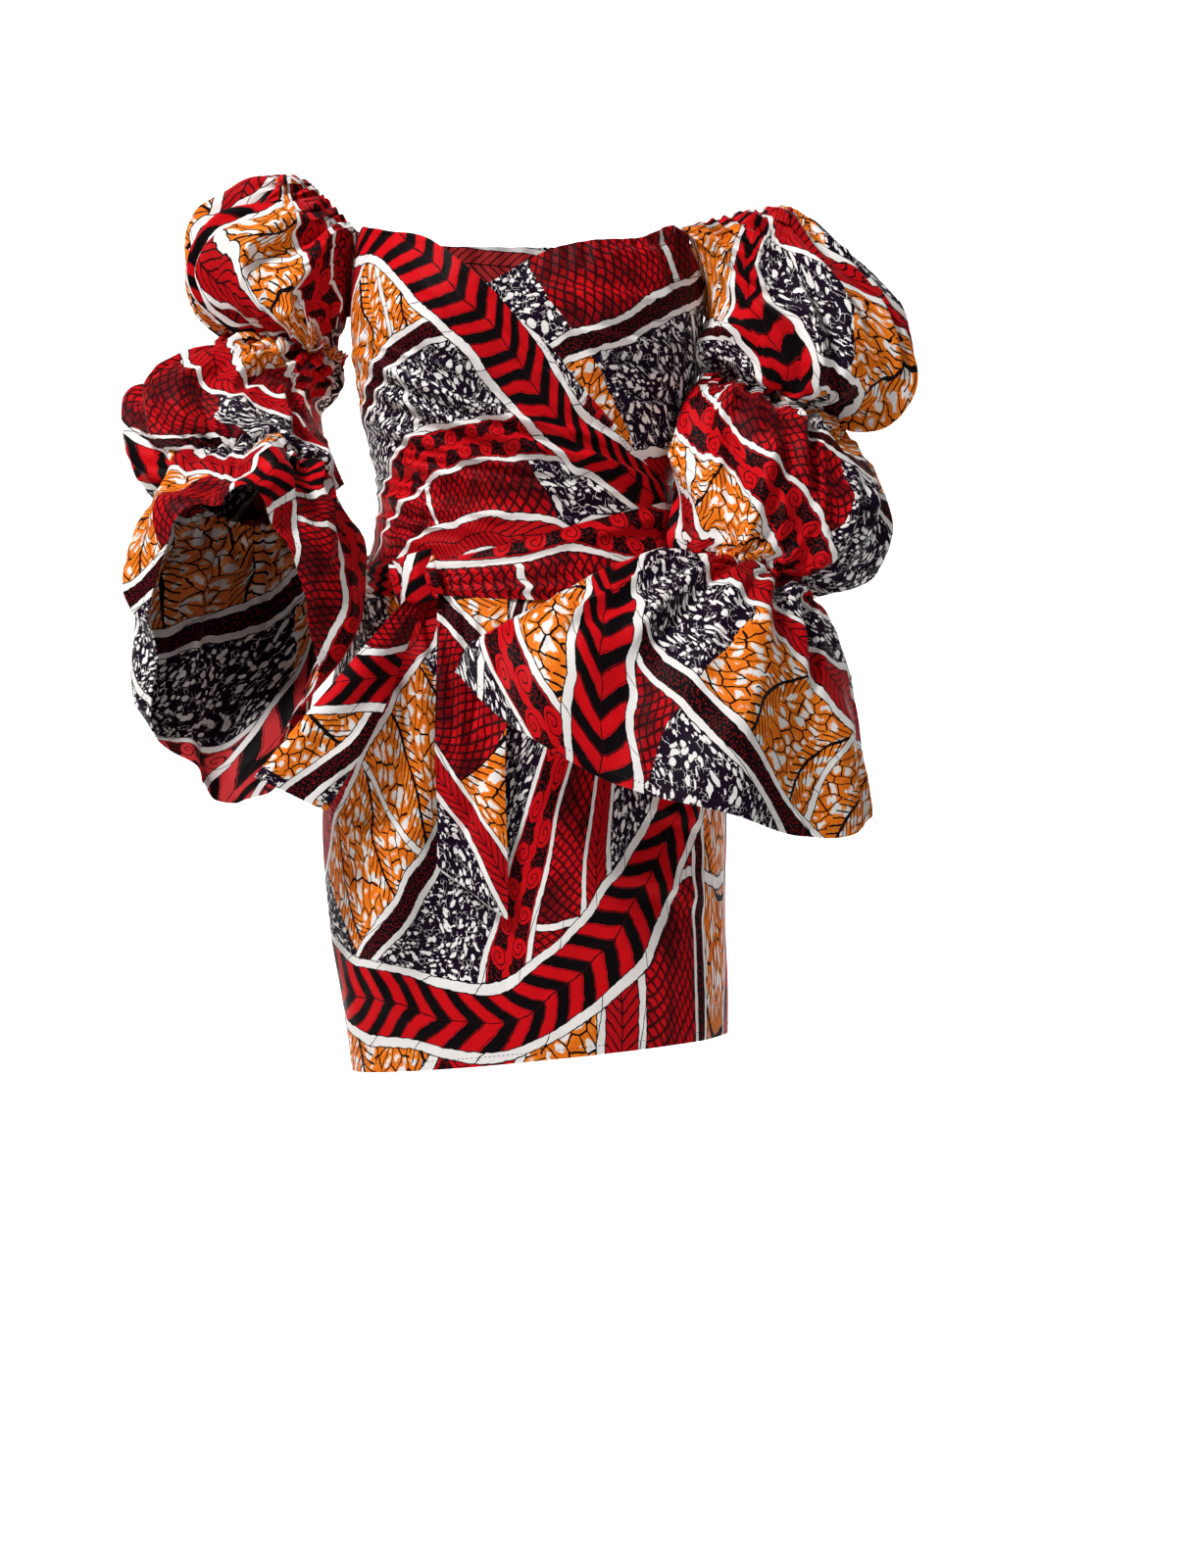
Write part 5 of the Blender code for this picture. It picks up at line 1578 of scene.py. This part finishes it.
# %% Tie the pieces to the solids
NODE_OF = {
    "cloth_skirt_front": ("skirt_front", "print_red_ground", "stretched"),
    "cloth_skirt_back": ("skirt_back", "print_red_ground", "stretched"),
    "cloth_bodice_front_over": ("bodice_front_over", "print_orange_ground", "stretched"),
    "cloth_bodice_front_under": ("bodice_front_under", "print_orange_ground", "stretched"),
    "cloth_bodice_back": ("bodice_back", "print_orange_ground", "gathered"),
    "cloth_sash_band": ("sash_band", "print_purple_ground", "gathered"),
    "cloth_knot_over": ("sash_knot", "print_red_ground", "folded"),
    "cloth_knot_under": ("sash_knot", "print_red_ground", "folded"),
    "cloth_tail_side": ("sash_tail_side", "print_orange_ground", "hung"),
    "cloth_tail_front": ("sash_tail_front", "print_purple_ground", "hung"),
    "cloth_left_upper_puff": ("left_sleeve_upper_puff", "print_red_ground", "gathered"),
    "cloth_left_lower_puff": ("left_sleeve_lower_puff", "print_orange_ground", "gathered"),
    "cloth_left_bell": ("left_sleeve_bell", "print_purple_ground", "gathered"),
    "cloth_right_upper_puff": ("right_sleeve_upper_puff", "print_red_ground", "gathered"),
    "cloth_right_lower_puff": ("right_sleeve_lower_puff", "print_orange_ground", "gathered"),
    "cloth_right_bell": ("right_sleeve_bell", "print_purple_ground", "gathered"),
}
for name, (node, slot, held) in NODE_OF.items():
    piece = PIECES[name]
    piece.data.materials.append(COTTON[slot])
    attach(piece, "root")
    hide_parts(node)
    sewn = [STITCHES[name]] if name in STITCHES else []
    for stitching in sewn:
        stitching.data.materials.append(THREAD_FINISH)
        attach(stitching, "root")
    width, length, area = CUTS[name]
    print(name, "cut", round(width, 3), "x", round(length, 3), "area", round(area, 4))

# %% [markdown]
# The studio: a pale floor that sweeps up into a pale wall, a small soft key light high on the left,
# a weak wide fill, a little light from behind so the sleeves' edges stand off the background, and
# two lights that whiten the wall.

# %% Floor, lights and camera
FLOOR_Z = -1.30
WALL_Y = 4.0
SWEEP_RADIUS = 1.6
# Each light: its place, what it is aimed at, its width and height, and its power in watts
LIGHTS = {
    "key": ((-1.5, -1.7, 1.9), (0.0, 0.0, -0.25), (0.45, 0.45), 100),
    "fill": ((2.0, -2.4, 0.3), (0.0, 0.0, -0.30), (1.6, 2.0), 10),
    "rim": ((0.8, 1.6, 1.7), (0.0, 0.0, -0.20), (1.2, 0.8), 16),
    "wall_left": ((-2.6, 1.6, 0.8), (-1.2, 4.2, 0.2), (1.5, 2.0), 140),
    "wall_right": ((2.6, 1.6, 0.8), (1.2, 4.2, 0.2), (1.5, 2.0), 140),
}
ROOM_LIGHT = 0.11
CAMERA_DISTANCE = 2.6
CAMERA_X = 0.0563
CAMERA_Z = -0.395
SENSOR = 36.0
VIEW_HEIGHT = 1.344


def studio_sweep():
    """A sheet that is level in front, turns up through a quarter circle, and stands behind."""
    bend = np.linspace(0.1, np.pi / 2, 14)
    start = WALL_Y - SWEEP_RADIUS
    run = [np.linspace(-6.0, start, 12), start + SWEEP_RADIUS * np.sin(bend), np.full(8, WALL_Y)]
    rise = [np.zeros(12), SWEEP_RADIUS * (1 - np.cos(bend)), np.linspace(2.0, 6.0, 8)]
    x, y = np.meshgrid(np.linspace(-7.0, 7.0, 9), np.concatenate(run))
    z = FLOOR_Z + np.concatenate(rise)[:, None] + np.zeros_like(x)
    obj = new_object("studio_sweep", np.stack([x, y, z], axis=-1), quads(np.arange(x.size).reshape(x.shape)))
    obj.data.shade_smooth()
    paint, _, shader = new_material("matt studio paint")
    shader.inputs["Base Color"].default_value = linear("#fbfbfa")
    shader.inputs["Roughness"].default_value = 0.9
    obj.data.materials.append(paint)


def soft_light(name, place, aim, size, power):
    """A rectangular light that faces what it is aimed at."""
    data = bpy.data.lights.new(name, "AREA")
    data.shape = "RECTANGLE"
    data.size, data.size_y = size
    data.energy = power
    obj = bpy.data.objects.new(name, data)
    obj.location = place
    direction = mathutils.Vector(aim) - mathutils.Vector(place)
    obj.rotation_euler = direction.to_track_quat("-Z", "Y").to_euler()
    bpy.context.scene.collection.objects.link(obj)


studio_sweep()
for name, light in LIGHTS.items():
    soft_light(name, *light)
world = bpy.data.worlds.new("white room")
world.use_nodes = True
world.node_tree.nodes["Background"].inputs["Color"].default_value = linear("#ffffff")
world.node_tree.nodes["Background"].inputs["Strength"].default_value = ROOM_LIGHT
bpy.context.scene.world = world
bpy.context.scene.view_settings.view_transform = "Standard"

camera_data = bpy.data.cameras.new("camera")
camera_data.sensor_fit = "VERTICAL"
camera_data.sensor_height = SENSOR
camera_data.lens = SENSOR * CAMERA_DISTANCE / VIEW_HEIGHT
camera = bpy.data.objects.new("camera", camera_data)
camera.location = (CAMERA_X, -CAMERA_DISTANCE, CAMERA_Z)
camera.rotation_euler = (math.pi / 2, 0.0, 0.0)
bpy.context.scene.collection.objects.link(camera)
bpy.context.scene.camera = camera

# %% Bring the scene up to date
bpy.context.view_layer.update()
